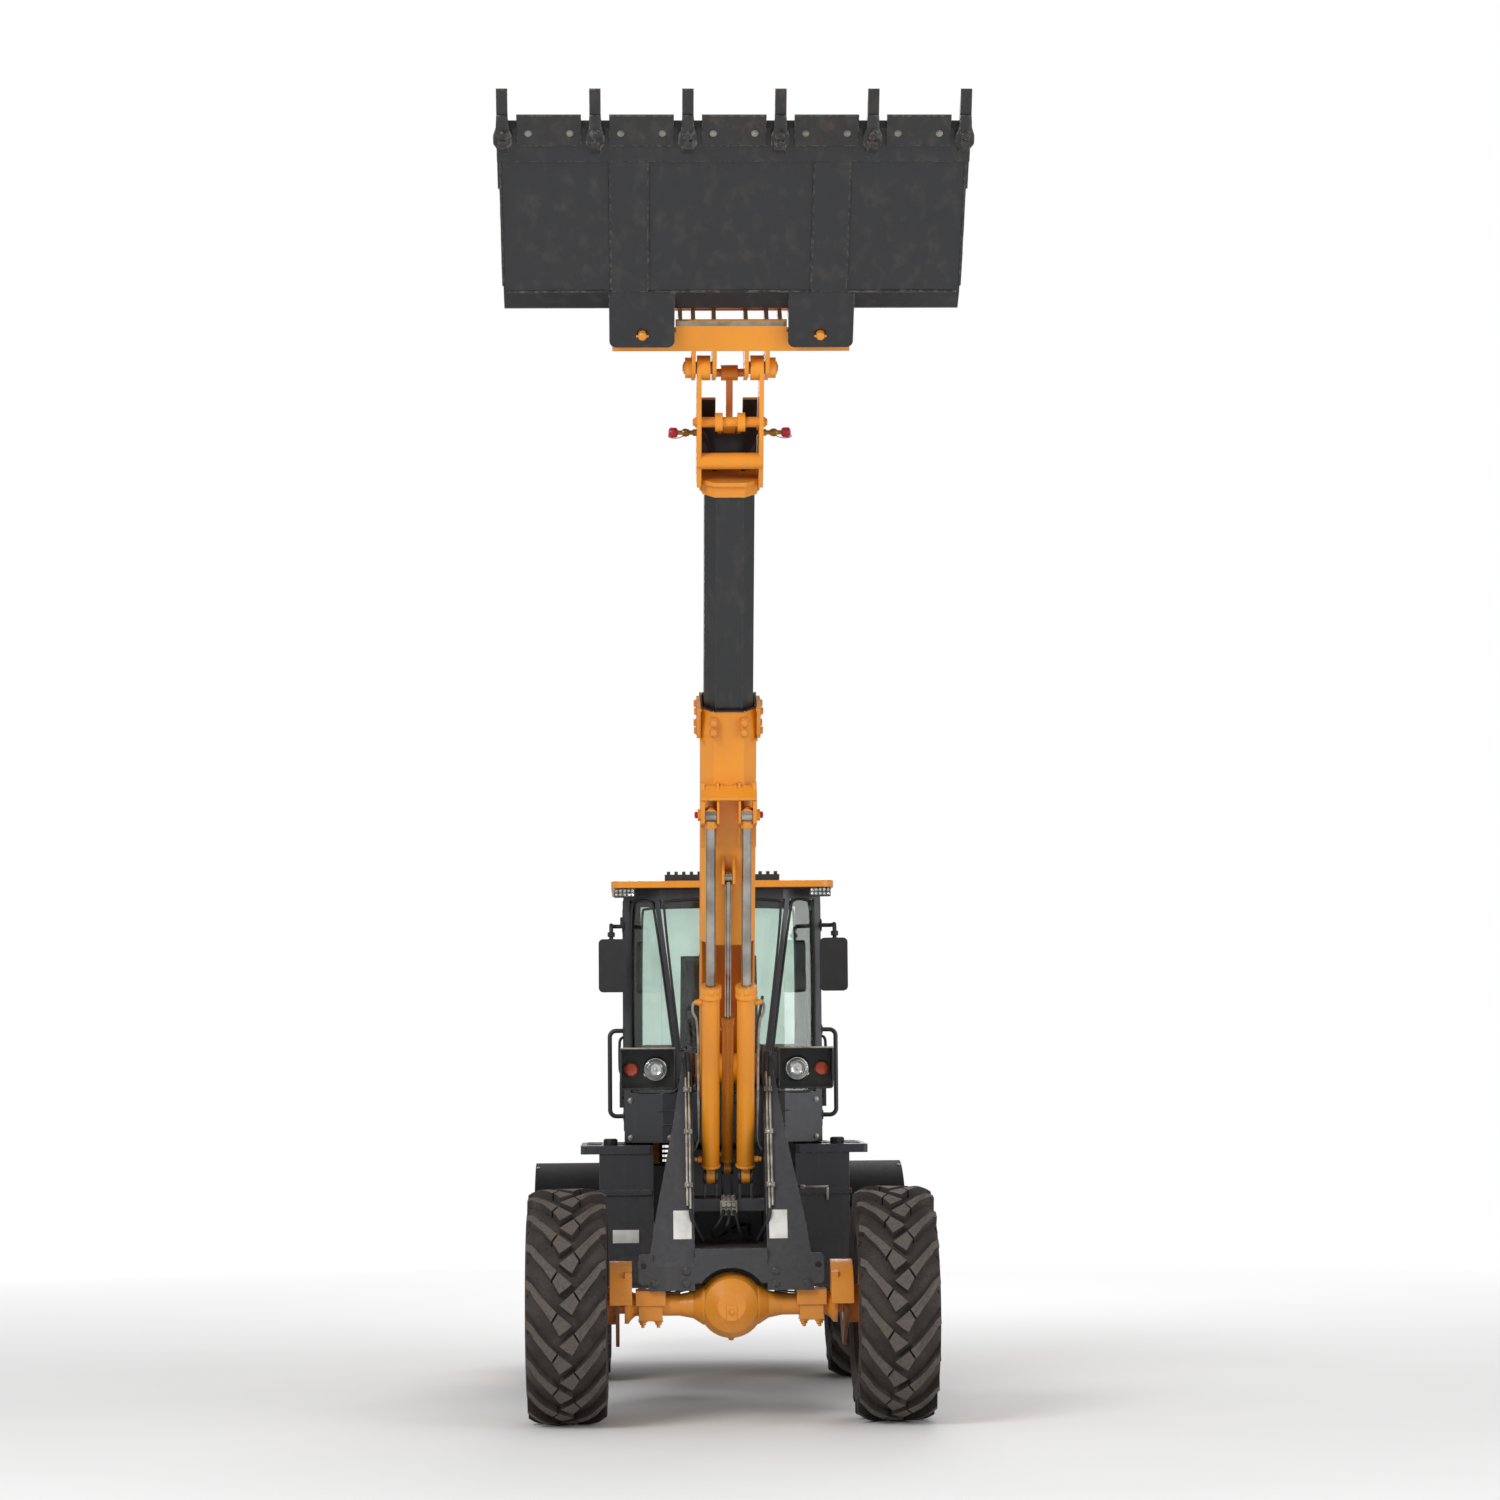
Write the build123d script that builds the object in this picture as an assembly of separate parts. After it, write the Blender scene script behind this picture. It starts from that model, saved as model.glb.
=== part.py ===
from build123d import *
import os
from math import cos, hypot, radians, sin

# Articulated telescopic wheel loader, in millimetres.
# +Z is up, the machine looks towards -Y, and +X is the driver's left.
# Sizes are worked out with the front axle at Y = 0 and the floor at Z = 0.
# The finished pieces are then moved so that the origin lies under the middle of the machine.

# Running gear
tyre_diameter = 1175
tyre_width = 405
lug_depth = 38
lugs_each_side = 18
lug_width = 58
lug_root_width = 74
bead_radius = 305
bead_half_width = 150
flange_radius = 328
flange_thickness = 12
track = 1645
wheelbase = 2600
axle_height = tyre_diameter / 2
axle_tube_radius = 54
differential_radius = 165
differential_nose = 320
hub_radius = 95
brake_disc_radius = 206
brake_disc_thickness = 14
brake_disc_x = 571
spindle_radius = 42
bearing_gap = 0.05

# Clearances between pieces
pin_side_gap = 2
running_gap = 6

# Articulation and steering
pivot_y = wheelbase / 2
pivot_pin_radius = 35
pivot_ear_radius = 110
pivot_ear_thickness = 28
pivot_low_z = 548
pivot_high_z = 915
steer_z = 520
steer_eye_x = 260
steer_eye_y = 1180
steer_base_x = 340
steer_base_y = 2050
steer_barrel_length = 610
steer_barrel_radius = 35
steer_rod_radius = 18
steer_eye_width = 40
steer_eye_radius = 30
steer_rod_end = 300

# Boom
boom_pivot_y = 550
boom_pivot_z = 1770
boom_angle = 64
boom_pin_radius = 35
outer_boom_width = 279
outer_boom_height = 330
outer_boom_corner = 62
outer_boom_wall = 8
outer_boom_front = 2054
outer_boom_floor_start = 780
outer_boom_tail = 110
inner_boom_width = 245
inner_boom_height = 296
inner_boom_corner = 56
inner_boom_wall = 10
inner_boom_rear = 1330
inner_boom_front = 3222
telescope_stroke = 1100
collar_start = outer_boom_front + telescope_stroke + 10

# Boom head and tilt linkage
hinge_s = 3805
hinge_t = -120
head_plate_outer_x = 161
head_plate_thickness = 22
hinge_pin_radius = 30
hinge_boss_radius = 60
tilt_arm = 169
tilt_arm_angle = 113.5
tilt_link_length = 271
head_tube_s = hinge_s - tilt_link_length - 190
head_tube_t = hinge_t - 20
head_tube_radius = 40
bellcrank_pin_radius = 25
link_pin_radius = 20

# Bucket and coupler
bucket_angle = 50
bucket_width = 2150
bucket_floor_below_hinge = 100
bucket_bend_u = 463
bucket_lip_u = 1300
edge_plate_back_u = 1150
edge_plate_front_u = 1348
edge_plate_thickness = 18
bucket_plate = 20
bucket_corner = 34
bucket_back_u = 328
bucket_top_v = 700
lip_edge_u = bucket_lip_u + 20
bucket_side_plate = 16
tooth_count = 6
tooth_tip_u = 1510
tooth_width = 52
coupler_width = 1133
coupler_beam_back = 125
coupler_beam_front = 229
coupler_bar_low_v = 290
coupler_bar_high_v = 346
lock_pin_x = 423
lock_pin_u = 238
bracket_inner_x = 270
bracket_outer_x = 580
bracket_back_u = 167
bracket_plate = 18

# Lift and levelling cylinders
lift_spacing = 180
lift_base_y = 400
lift_base_z = 1215
lift_eye_s = 1525
lift_eye_t = -230
lift_barrel_length = 1050
lift_barrel_radius = 46
lift_barrel_wall = 8
lift_gland_radius = 54
lift_rod_radius = 25
lift_rod_end = 945
lift_bracket_reach = 45
lift_bracket_length = 350
level_base_y = 550
level_base_z = 1250
level_eye_s = 1180
level_eye_t = -210
level_barrel_length = 868
level_barrel_radius = 30
level_barrel_wall = 6
level_gland_radius = 33
level_rod_radius = 17
level_rod_end = 770
level_lug_reach = 30

# Front frame
tower_inner_x = 182
tower_plate = 20
tower_foot_y = -120
tower_foot_z = 664
tower_fold_z = 788
tower_top_z = 1890
tower_foot_outer_x = 415
tower_top_outer_x = 230
tower_slope_top_y = 440
tongue_half_width = 140
valve_top_z = 1096
lamp_z = 1768
lamp_box_inner_x = 266
lamp_box_outer_x = 556
headlamp_x = 371
indicator_x = 497

# Rear body
member_inner_x = 230
member_plate = 25
member_front_y = 1440
member_rear_y = 3950
box_inner_x = 380
box_outer_x = 671
box_front_y = 1110
box_rear_y = 1930
box_floor_z = 600
lid_outer_x = 770
lid_top_z = 1360
lid_thickness = 45
fender_inner_radius = 628
fender_inner_x = 602
fender_outer_x = 1045

# Cab
cab_half_width = 535
cab_floor_z = 1372
cab_floor_thickness = 40
cab_wall = 36
cab_front_y = 1165
cab_corner_y = 1265
cab_centre_half = 330
cab_rear_y = 2230
cab_top_z = 2740
glass_inset = 14
glass_thickness = 6
window_low_z = 1640
window_high_z = 2680
door_front_y = 1310
door_rear_y = 2120
door_low_z = 1425
door_high_z = 2690
door_hinge_x = cab_half_width + 12
roof_half_width = 600
roof_front_y = 1085
roof_rear_y = 2290
roof_edge = 36
roof_crown = 62
roof_bar_count = 15

# Hood, engine and counterweight
engine_low_z = 780
hood_half_width = 500
hood_front_y = 2300
hood_rear_y = 4010
hood_low_z = 1050
hood_high_z = 1900
hood_wall = 14
hood_corner = 90
hood_hinge_y = hood_front_y - 14
hood_hinge_z = hood_high_z - 20
hood_pin_radius = 9
louvre_count = 4
louvre_low_z = 1160
louvre_pitch = 66
grille_half_width = 330
grille_low_z = 1120
grille_high_z = 1360
slat_count = 7
weight_top_z = 1040
weight_front_y = 3700
weight_rear_y = 4180
weight_half_width = 880
tow_jaw_z = 710
tow_jaw_gap = 92
tow_cheek = 24
tow_low_z = tow_jaw_z - tow_jaw_gap / 2 - tow_cheek
tow_high_z = tow_jaw_z + tow_jaw_gap / 2 + tow_cheek
tow_bore_radius = 16
tow_bore_y = weight_rear_y + 24


# General shapes

def block(x0, x1, y0, y1, z0, z1):
    middle = ((x0 + x1) / 2, (y0 + y1) / 2, (z0 + z1) / 2)
    return Pos(*middle) * Box(abs(x1 - x0), abs(y1 - y0), abs(z1 - z0))


def side_plate(points, x0, x1):
    """Outline given as (y, z), from one X to another."""
    outline = make_face(Polyline(*points, close=True))
    return extrude(Plane.YZ.offset(min(x0, x1)) * outline, amount=abs(x1 - x0))


def flat_plate(points, z0, z1):
    """Outline given as (x, y), from one Z to another."""
    outline = make_face(Polyline(*points, close=True))
    return extrude(Plane.XY.offset(z0) * outline, amount=z1 - z0)


def cross_plate(points, y0, y1):
    """Outline given as (x, z), from one Y to another."""
    outline = make_face(Polyline(*points, close=True))
    return extrude(Plane.XZ.offset(-y1) * outline, amount=y1 - y0)


def rounded_face(points, rounded, radius):
    """Closed outline whose corners with the given numbers are rounded."""
    face = make_face(Polyline(*points, close=True))
    corners = [face.vertices().sort_by_distance((*points[number], 0))[0] for number in rounded]
    return fillet(corners, radius)


def rounded_side_plate(points, rounded, radius, x0, x1):
    """As a side plate, with the numbered corners of its outline rounded."""
    outline = rounded_face(points, rounded, radius)
    return extrude(Plane.YZ.offset(min(x0, x1)) * outline, amount=abs(x1 - x0))


def x_bar(y, z, radius, x0, x1):
    bar = Cylinder(radius, abs(x1 - x0), rotation=(0, 90, 0))
    return Pos((x0 + x1) / 2, y, z) * bar


def y_bar(x, z, radius, y0, y1):
    bar = Cylinder(radius, abs(y1 - y0), rotation=(90, 0, 0))
    return Pos(x, (y0 + y1) / 2, z) * bar


def z_bar(x, y, radius, z0, z1):
    return Pos(x, y, (z0 + z1) / 2) * Cylinder(radius, z1 - z0)


def bar_between(start, end, radius):
    direction = Vector(*end) - Vector(*start)
    plane = Plane(origin=start, z_dir=direction)
    return plane * Cylinder(radius, direction.length, align=(Align.CENTER, Align.CENTER, Align.MIN))


def mirrored(shape):
    return mirror(shape, about=Plane.YZ)


def both_sides(shape):
    return shape + mirrored(shape)


def pipe(points, bends, radius):
    path = FilletPolyline(*points, radius=bends)
    start = Plane(origin=path @ 0, z_dir=path % 0)
    return sweep(start * Circle(radius), path=path)


# Boom frame: s runs forward along the boom from its pivot, t is across it and upward.

def boom_point(s, t):
    turn = radians(boom_angle)
    y = boom_pivot_y - s * cos(turn) + t * sin(turn)
    z = boom_pivot_z + s * sin(turn) + t * cos(turn)
    return y, z


def bucket_point(u, v):
    """u runs forward along the bucket floor from the hinge, v is square to it and upward."""
    hinge_y, hinge_z = boom_point(hinge_s, hinge_t)
    turn = radians(bucket_angle)
    y = hinge_y - u * cos(turn) + v * sin(turn)
    z = hinge_z + u * sin(turn) + v * cos(turn)
    return y, z


boom_frame = Pos(0, boom_pivot_y, boom_pivot_z) * Rot(-boom_angle, 0, 0)
bucket_frame = Pos(0, *boom_point(hinge_s, hinge_t)) * Rot(-bucket_angle, 0, 0)


def along(points):
    """Turns (forward, up) pairs into the (y, z) pairs of a frame that looks towards -Y."""
    return [(-forward, up) for forward, up in points]


# Wheels

def tyre():
    """Carcass of revolution with a row of slanted bars on each side, half a pitch apart."""
    half = tyre_width / 2
    top = tyre_diameter / 2 - lug_depth
    right = [
        (120, top),
        (half - 36, top - 22),
        (half, 470),
        (half - 6, 400),
        (bead_half_width, flange_radius + 8),
        (bead_half_width, bead_radius),
    ]
    left = [(-x, radius) for x, radius in reversed(right)]
    face = make_face(Plane.XY * Polyline(*left, *right, close=True))
    carcass = revolve(face, axis=Axis.X)
    pitch = 360 / lugs_each_side
    bar = tyre_bar()
    bars = []
    for number in range(lugs_each_side):
        bars.append(Rot(number * pitch, 0, 0) * bar)
        bars.append(Rot((number + 0.5) * pitch, 0, 0) * mirrored(bar))
    return carcass + bars


# Sections of one bar: distance from the tyre's middle, turn up round the tyre in degrees,
# radius of its top, radius of its root.
bar_sections = [
    (14, 0, tyre_diameter / 2, tyre_diameter / 2 - lug_depth - 14),
    (108, 8.5, tyre_diameter / 2, tyre_diameter / 2 - lug_depth - 14),
    (tyre_width / 2 - 4, 14, tyre_diameter / 2 - 34, tyre_diameter / 2 - lug_depth - 74),
]


def tyre_bar():
    """One lug, lofted straight from near the tyre's middle to its shoulder."""
    faces = []
    for x, turn, top, root in bar_sections:
        corners = []
        for radius, width in ((root, lug_root_width), (top, lug_width)):
            for side in (-1, 1):
                across = side * width / 2
                corners.append((across, radius))
        (a, b, c, d) = corners
        outline = Polyline((0, *a), (0, *b), (0, *d), (0, *c), close=True)
        section = make_face(outline)
        faces.append(Pos(x, 0, 0) * Rot(90 - turn, 0, 0) * section)
    return loft(faces, ruled=True)


def rim():
    """Barrel with flanges, dished disc, hub and brake disc; +X points outward."""
    inward = -bead_half_width
    outward = bead_half_width
    barrel_inner = bead_radius - 14
    profile = [
        (inward, barrel_inner),
        (inward, bead_radius),
        (outward, bead_radius),
        (outward, barrel_inner),
        (78, barrel_inner),
        (62, 235),
        (-20, 175),
        (-20, hub_radius + 30),
        (60, hub_radius + 20),
        (78, hub_radius - 10),
        (78, 30),
        (60, 0.001),
        (-60, 0.001),
        (-60, spindle_radius + bearing_gap),
        (brake_disc_x + brake_disc_thickness / 2 - track / 2, spindle_radius + bearing_gap),
        (brake_disc_x + brake_disc_thickness / 2 - track / 2, hub_radius),
        (-36, hub_radius),
        (-36, 185),
        (46, 245),
        (60, barrel_inner),
    ]
    face = make_face(Plane.XY * Polyline(*profile, close=True))
    body = revolve(face, axis=Axis.X)
    for start in (inward - flange_thickness, outward):
        ring = x_bar(0, 0, flange_radius, start, start + flange_thickness)
        body += ring - x_bar(0, 0, barrel_inner, start, start + flange_thickness)
    disc_x = brake_disc_x - track / 2
    half_disc = brake_disc_thickness / 2
    disc = x_bar(0, 0, brake_disc_radius, disc_x - half_disc, disc_x + half_disc)
    disc -= x_bar(0, 0, spindle_radius + bearing_gap, disc_x - half_disc, disc_x + half_disc)
    body += disc
    return body


def at_wheel(shape, side, axle_y):
    placed = shape if side > 0 else mirrored(shape)
    return Pos(side * track / 2, axle_y, axle_height) * placed


# Axles

def axle(axle_y, calipers):
    """Differential with its nose, tapered tubes, spindles and brake calipers."""
    z = axle_height
    bulb_profile = [
        (0, -differential_radius * 0.9),
        (70, -differential_radius * 0.9),
        (135, -differential_radius * 0.62),
        (differential_radius, -40),
        (differential_radius, 40),
        (130, 120),
        (85, 190),
        (70, differential_nose),
        (0, differential_nose),
    ]
    bulb = revolve(make_face(Plane.XY * Polyline(*bulb_profile, close=True)), axis=Axis.Y)
    body = Pos(0, axle_y, z) * bulb
    tube_end = brake_disc_x - brake_disc_thickness / 2 - running_gap - 22
    half = [
        (0, 0.001),
        (0, 115),
        (140, 100),
        (190, 68),
        (260, axle_tube_radius),
        (480, axle_tube_radius),
        (500, 70),
        (tube_end - 20, 92),
        (tube_end, 92),
        (tube_end, spindle_radius),
        (track / 2 - 75, spindle_radius),
        (track / 2 - 75, 0.001),
    ]
    tube = revolve(make_face(Plane.XY * Polyline(*half, close=True)), axis=Axis.X)
    body += Pos(0, axle_y, z) * both_sides(tube)
    pad = block(330, 480, axle_y - 85, axle_y + 85, z, tower_foot_z)
    pad -= x_bar(axle_y, z, axle_tube_radius, 320, 490)
    lower_pad = block(345, 465, axle_y - 75, axle_y + 75, z - axle_tube_radius - 22, z)
    lower_pad -= x_bar(axle_y, z, axle_tube_radius, 320, 490)
    body += both_sides(pad + lower_pad)
    if calipers:
        body += both_sides(caliper(axle_y))
    return body


def caliper(axle_y):
    """Curved block that straddles the upper front of the brake disc, on an arm of the axle end."""
    inner = 120
    outer = brake_disc_radius + 26
    slot = brake_disc_thickness / 2 + running_gap
    x0 = brake_disc_x - 73
    x1 = brake_disc_x + 39
    ring = x_bar(0, 0, outer, x0, x1) - x_bar(0, 0, inner, x0, x1)
    wedge = side_plate([(0, 0), (-330, 20), (-330, 330), (-80, 330)], x0, x1)
    body = ring & wedge
    body -= x_bar(0, 0, brake_disc_radius + 8, brake_disc_x - slot, brake_disc_x + slot)
    arm = side_plate([(-20, 60), (-170, 60), (-190, 170), (-60, 190)], x0, brake_disc_x - 36)
    return Pos(0, axle_y, axle_height) * (body + arm)


# Front frame

def front_frame():
    z_top = tower_top_z
    y_foot = tower_foot_y
    slope_top_y = tower_slope_top_y
    wall = tower_plate
    inner = tower_inner_x
    side_outline = [
        (y_foot, tower_foot_z),
        (y_foot, tower_fold_z),
        (slope_top_y, z_top - 20),
        (slope_top_y + 30, z_top),
        (650, z_top),
        (700, z_top - 60),
        (780, 1150),
        (780, tower_foot_z),
    ]
    side = side_plate(side_outline, inner, inner + wall)
    outer_rib = side_plate(
        [(140, 900), (430, 1480), (420, 1860), (650, 1860), (700, 1400), (700, 900)],
        tower_top_outer_x - 12, tower_top_outer_x)
    closing = side_plate([(700, 900), (700, 1400), (650, 1860), (630, 1860), (680, 1400), (680, 900)],
                         inner + wall, tower_top_outer_x)
    length = hypot(slope_top_y - y_foot, z_top - 20 - tower_fold_z)
    flange = make_face(Polyline(
        (inner, 0), (tower_foot_outer_x, 0), (tower_foot_outer_x - 42, length * 0.24),
        (tower_top_outer_x + 60, length * 0.62), (tower_top_outer_x, length * 0.95),
        (tower_top_outer_x - 12, length), (inner, length), close=True))
    front = extrude(front_slope() * flange, amount=-wall)
    lip = block(inner, tower_foot_outer_x, y_foot, y_foot + wall, tower_foot_z, tower_fold_z)
    foot = block(inner, tower_foot_outer_x, y_foot, y_foot + 330, tower_foot_z, tower_foot_z + 22)
    gusset = side_plate([(y_foot + 5, tower_foot_z + 10), (y_foot + 330, tower_foot_z + 10),
                         (y_foot + 330, 760), (y_foot + 180, 1000), (y_foot + 70, 900)], 372, 388)
    boss = x_bar(boom_pivot_y, boom_pivot_z, 85, 171, 250)
    ring_z = (tower_foot_z + tower_fold_z) / 2 + 62
    ring_plate = block(tower_foot_outer_x - 20, tower_foot_outer_x + 52, y_foot, y_foot + 24,
                       tower_foot_z + 30, ring_z + 60)
    ring_plate = fillet(ring_plate.edges().filter_by(Axis.Y).sort_by(Axis.X)[-2:], 24)
    ring_plate -= y_bar(tower_foot_outer_x + 24, ring_z, 16, y_foot - 5, y_foot + 30)
    half = side + outer_rib + closing + front + lip + foot + gusset + boss + ring_plate
    body = both_sides(half)

    cross = block(-inner, inner, 330, 620, 1040, 1104)
    floor = block(-inner, inner, y_foot + wall, 780, 852, 873)
    lower_front = block(-inner, inner, y_foot, y_foot + wall, 700, 873)
    lower_front -= y_bar(0, axle_height, differential_radius + 24, y_foot - 5, y_foot + wall + 5)
    rear_wall = block(-inner, inner, 760, 780, 560, 1104)
    body += cross + floor + lower_front + rear_wall

    tongue_side = side_plate([(760, 560), (760, 900), (1180, 900), (1180, 560)],
                             tongue_half_width - 20, tongue_half_width)
    low_ear = ear_plate(760, tongue_half_width, pivot_low_z)
    high_ear = ear_plate(760, tongue_half_width, pivot_high_z)
    back = block(-tongue_half_width, tongue_half_width, 1150, 1170, 560, 900)
    body += both_sides(tongue_side) + low_ear + high_ear + back
    bore = pivot_pin_radius + bearing_gap
    body -= z_bar(0, pivot_y, bore, pivot_low_z - 40, pivot_high_z + 40)

    lug_gap = steer_eye_width / 2 + pin_side_gap
    lug_points = [(tongue_half_width - 30, 1080), (steer_eye_x, 1140), (steer_eye_x + 45, 1180),
                  (steer_eye_x, 1220), (tongue_half_width - 30, 1170)]
    lug_top = flat_plate(lug_points, steer_z + lug_gap, steer_z + lug_gap + 18)
    lug_low = flat_plate(lug_points, steer_z - lug_gap - 18, steer_z - lug_gap)
    web = block(tongue_half_width - 30, tongue_half_width - 12, 1080, 1170,
                steer_z - lug_gap - 18, pivot_low_z)
    caps = z_bar(steer_eye_x, steer_eye_y, 20, steer_z + lug_gap, steer_z + lug_gap + 28)
    caps += z_bar(steer_eye_x, steer_eye_y, 20, steer_z - lug_gap - 28, steer_z - lug_gap)
    body += both_sides(lug_top + lug_low + web + caps)

    body += x_bar(boom_pivot_y, boom_pivot_z, boom_pin_radius, -256, 256)

    for x in (-lift_spacing / 2, lift_spacing / 2):
        for ear_x in (x - 36, x + 24):
            body += clevis_ear(lift_base_y, lift_base_z, 42, ear_x, ear_x + 12, 1104)
        body += x_bar(lift_base_y, lift_base_z, 22, x - 40, x + 40)
    for ear_x in (-30, 20):
        body += clevis_ear(level_base_y, level_base_z, 32, ear_x, ear_x + 10, 1104)
    body += x_bar(level_base_y, level_base_z, 16, -34, 34)
    return body


def ear_plate(y_start, half_width, z_middle):
    """Flat hinge plate that ends in a round eye on the articulation axis."""
    z0 = z_middle - pivot_ear_thickness / 2
    z1 = z_middle + pivot_ear_thickness / 2
    radius = pivot_ear_radius
    plate = flat_plate([(-half_width, y_start), (half_width, y_start), (half_width, 1150),
                        (radius, 1210), (radius, pivot_y), (-radius, pivot_y), (-radius, 1210),
                        (-half_width, 1150)], z0, z1)
    return plate + z_bar(0, pivot_y, radius, z0, z1)


def clevis_ear(y, z, radius, x0, x1, foot_z):
    ear = side_plate([(y - radius * 0.6, z), (y + radius, z), (y + radius + 20, foot_z),
                      (y - radius * 0.35, foot_z)], x0, x1)
    return ear + x_bar(y, z, radius, x0, x1)


def front_hydraulics():
    """Valve block in front of the upper cross plate, with three upright fittings."""
    body = block(-43, 43, 296, 330, 1020, valve_top_z)
    for x in (-26, 0, 26):
        body += z_bar(x, 312, 9, valve_top_z, valve_top_z + 28)
    return body


def tower_pipes():
    """Two rigid pipes in three clamps on the sloped front of each tower column."""
    half = None
    for x, low, high in ((200, 300, 1080), (216, 320, 1050)):
        run = bar_between((x, low, 18), (x, high, 18), 7)
        half = run if half is None else half + run
    for up in (420, 720, 960):
        half += block(188, 228, up, up + 26, 0, 30)
    return front_slope() * both_sides(half)


def front_slope():
    """Plane of the towers' sloped front: local Y runs up the slope from the fold."""
    return Plane(origin=(0, tower_foot_y, tower_fold_z), x_dir=(1, 0, 0),
                 z_dir=(0, tower_fold_z - (tower_top_z - 20), tower_slope_top_y - tower_foot_y))


def lamp_housing():
    x0, x1 = lamp_box_inner_x, lamp_box_outer_x
    y0, y1 = 420, 640
    z0, z1 = lamp_z - 105, lamp_z + 112
    shell = block(x0, x1, y0, y1, z0, z1)
    shell = fillet(shell.edges().filter_by(Axis.Y), 18)
    shell -= block(x0 + 10, x1 - 10, y0 - 1, y1 - 60, z0 + 10, z1 - 10)
    shell -= block(x0 - 5, x1 + 5, y0 - 5, y0 + 70, z0 - 5, z0 + 40)
    back = block(x0 + 9, x1 - 9, 580, 592, z0 + 9, z1 - 9)
    bracket = block(tower_top_outer_x, x0, 430, 462, lamp_z - 50, lamp_z + 90)
    return both_sides(shell + back + bracket)


def lamp_lenses(x, radius):
    lens = y_bar(x, lamp_z, radius, 560, 580) + y_bar(x, lamp_z, radius - 8, 548, 560)
    return both_sides(lens)


# Cylinders

def cylinder_plane(x, base, eye):
    return Plane(origin=(x, base[0], base[1]), x_dir=(1, 0, 0),
                 z_dir=(0, eye[0] - base[0], eye[1] - base[1]))


def barrel(radius, wall, length, gland_radius, gland_length, rod_radius, eye_radius, eye_width,
           pin_radius):
    """Stands on its base eye and points along +Z; a neck keeps the tube clear of the ears."""
    foot = eye_radius + 18
    body = Pos(0, 0, foot) * Cylinder(radius, length - foot, align=(Align.CENTER, Align.CENTER, Align.MIN))
    body += block(-eye_width / 2, eye_width / 2, -eye_radius * 0.7, eye_radius * 0.7, 0, foot + 2)
    gland = Pos(0, 0, length - gland_length)
    body += gland * Cylinder(gland_radius, gland_length, align=(Align.CENTER, Align.CENTER, Align.MIN))
    hollow_start = eye_radius + 30
    hollow = Pos(0, 0, hollow_start)
    body -= hollow * Cylinder(radius - wall, length - gland_length - hollow_start,
                              align=(Align.CENTER, Align.CENTER, Align.MIN))
    body -= hollow * Cylinder(rod_radius + bearing_gap, length, align=(Align.CENTER, Align.CENTER, Align.MIN))
    body += x_bar(0, 0, eye_radius, -eye_width / 2, eye_width / 2)
    body -= x_bar(0, 0, pin_radius + bearing_gap, -eye_width, eye_width)
    return body


def rod(radius, start, length, eye_radius, eye_width):
    """Rod that ends in a plain eye at the given length from the barrel's base."""
    body = Pos(0, 0, start) * Cylinder(radius, length - start, align=(Align.CENTER, Align.CENTER, Align.MIN))
    return body + Pos(0, 0, length) * x_bar(0, 0, eye_radius, -eye_width / 2, eye_width / 2)


def distance(start, end):
    return hypot(end[0] - start[0], end[1] - start[1])


lift_base = (lift_base_y, lift_base_z)
lift_eye = boom_point(lift_eye_s, lift_eye_t)
level_base = (level_base_y, level_base_z)
level_eye = boom_point(level_eye_s, level_eye_t)
steer_base = (steer_base_x, steer_base_y)
steer_eye = (steer_eye_x, steer_eye_y)


def lift_cylinder_pieces():
    barrels = None
    rods = None
    for side in (-1, 1):
        frame = cylinder_plane(side * lift_spacing / 2, lift_base, lift_eye)
        one_barrel = frame * barrel(lift_barrel_radius, lift_barrel_wall, lift_barrel_length,
                                    lift_gland_radius, 62, lift_rod_radius, 38, 44, 22)
        one_rod = frame * rod(lift_rod_radius, lift_rod_end, distance(lift_base, lift_eye), 38, 52)
        barrels = one_barrel if barrels is None else barrels + one_barrel
        rods = one_rod if rods is None else rods + one_rod
    return barrels, rods


def level_cylinder_pieces():
    frame = cylinder_plane(0, level_base, level_eye)
    one_barrel = frame * barrel(level_barrel_radius, level_barrel_wall, level_barrel_length,
                                level_gland_radius, 40, level_rod_radius, 28, 36, 16)
    one_rod = frame * rod(level_rod_radius, level_rod_end, distance(level_base, level_eye), 28, 36)
    return one_barrel, one_rod


def steer_cylinder_pieces(side):
    direction = (steer_eye_x - steer_base_x, steer_eye_y - steer_base_y)
    frame = Plane(origin=(steer_base_x, steer_base_y, steer_z), x_dir=(0, 0, 1),
                  z_dir=(direction[0], direction[1], 0))
    one_barrel = frame * barrel(steer_barrel_radius, 6, steer_barrel_length, 40, 40,
                                steer_rod_radius, steer_eye_radius, steer_eye_width, 16)
    one_rod = frame * rod(steer_rod_radius, steer_rod_end, distance(steer_base, steer_eye),
                          steer_eye_radius, steer_eye_width)
    if side < 0:
        return mirrored(one_barrel), mirrored(one_rod)
    return one_barrel, one_rod


# Boom

def octagon(width, height, corner):
    """Closed outline in X and Z."""
    w, h, c = width / 2, height / 2, corner
    return make_face(Polyline((-w, -h + c), (-w + c, -h), (w - c, -h), (w, -h + c), (w, h - c),
                              (w - c, h), (-w + c, h), (-w, h - c), close=True))


def boom_prism(width, height, corner, s0, s1):
    return extrude(Plane.XZ.offset(s0) * octagon(width, height, corner), amount=s1 - s0)


def boom_tube(width, height, corner, wall, s0, s1):
    inner_corner = corner - wall * 0.586
    outer = boom_prism(width, height, corner, s0, s1)
    return outer - boom_prism(width - 2 * wall, height - 2 * wall, inner_corner, s0 - 1, s1 + 1)


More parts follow.
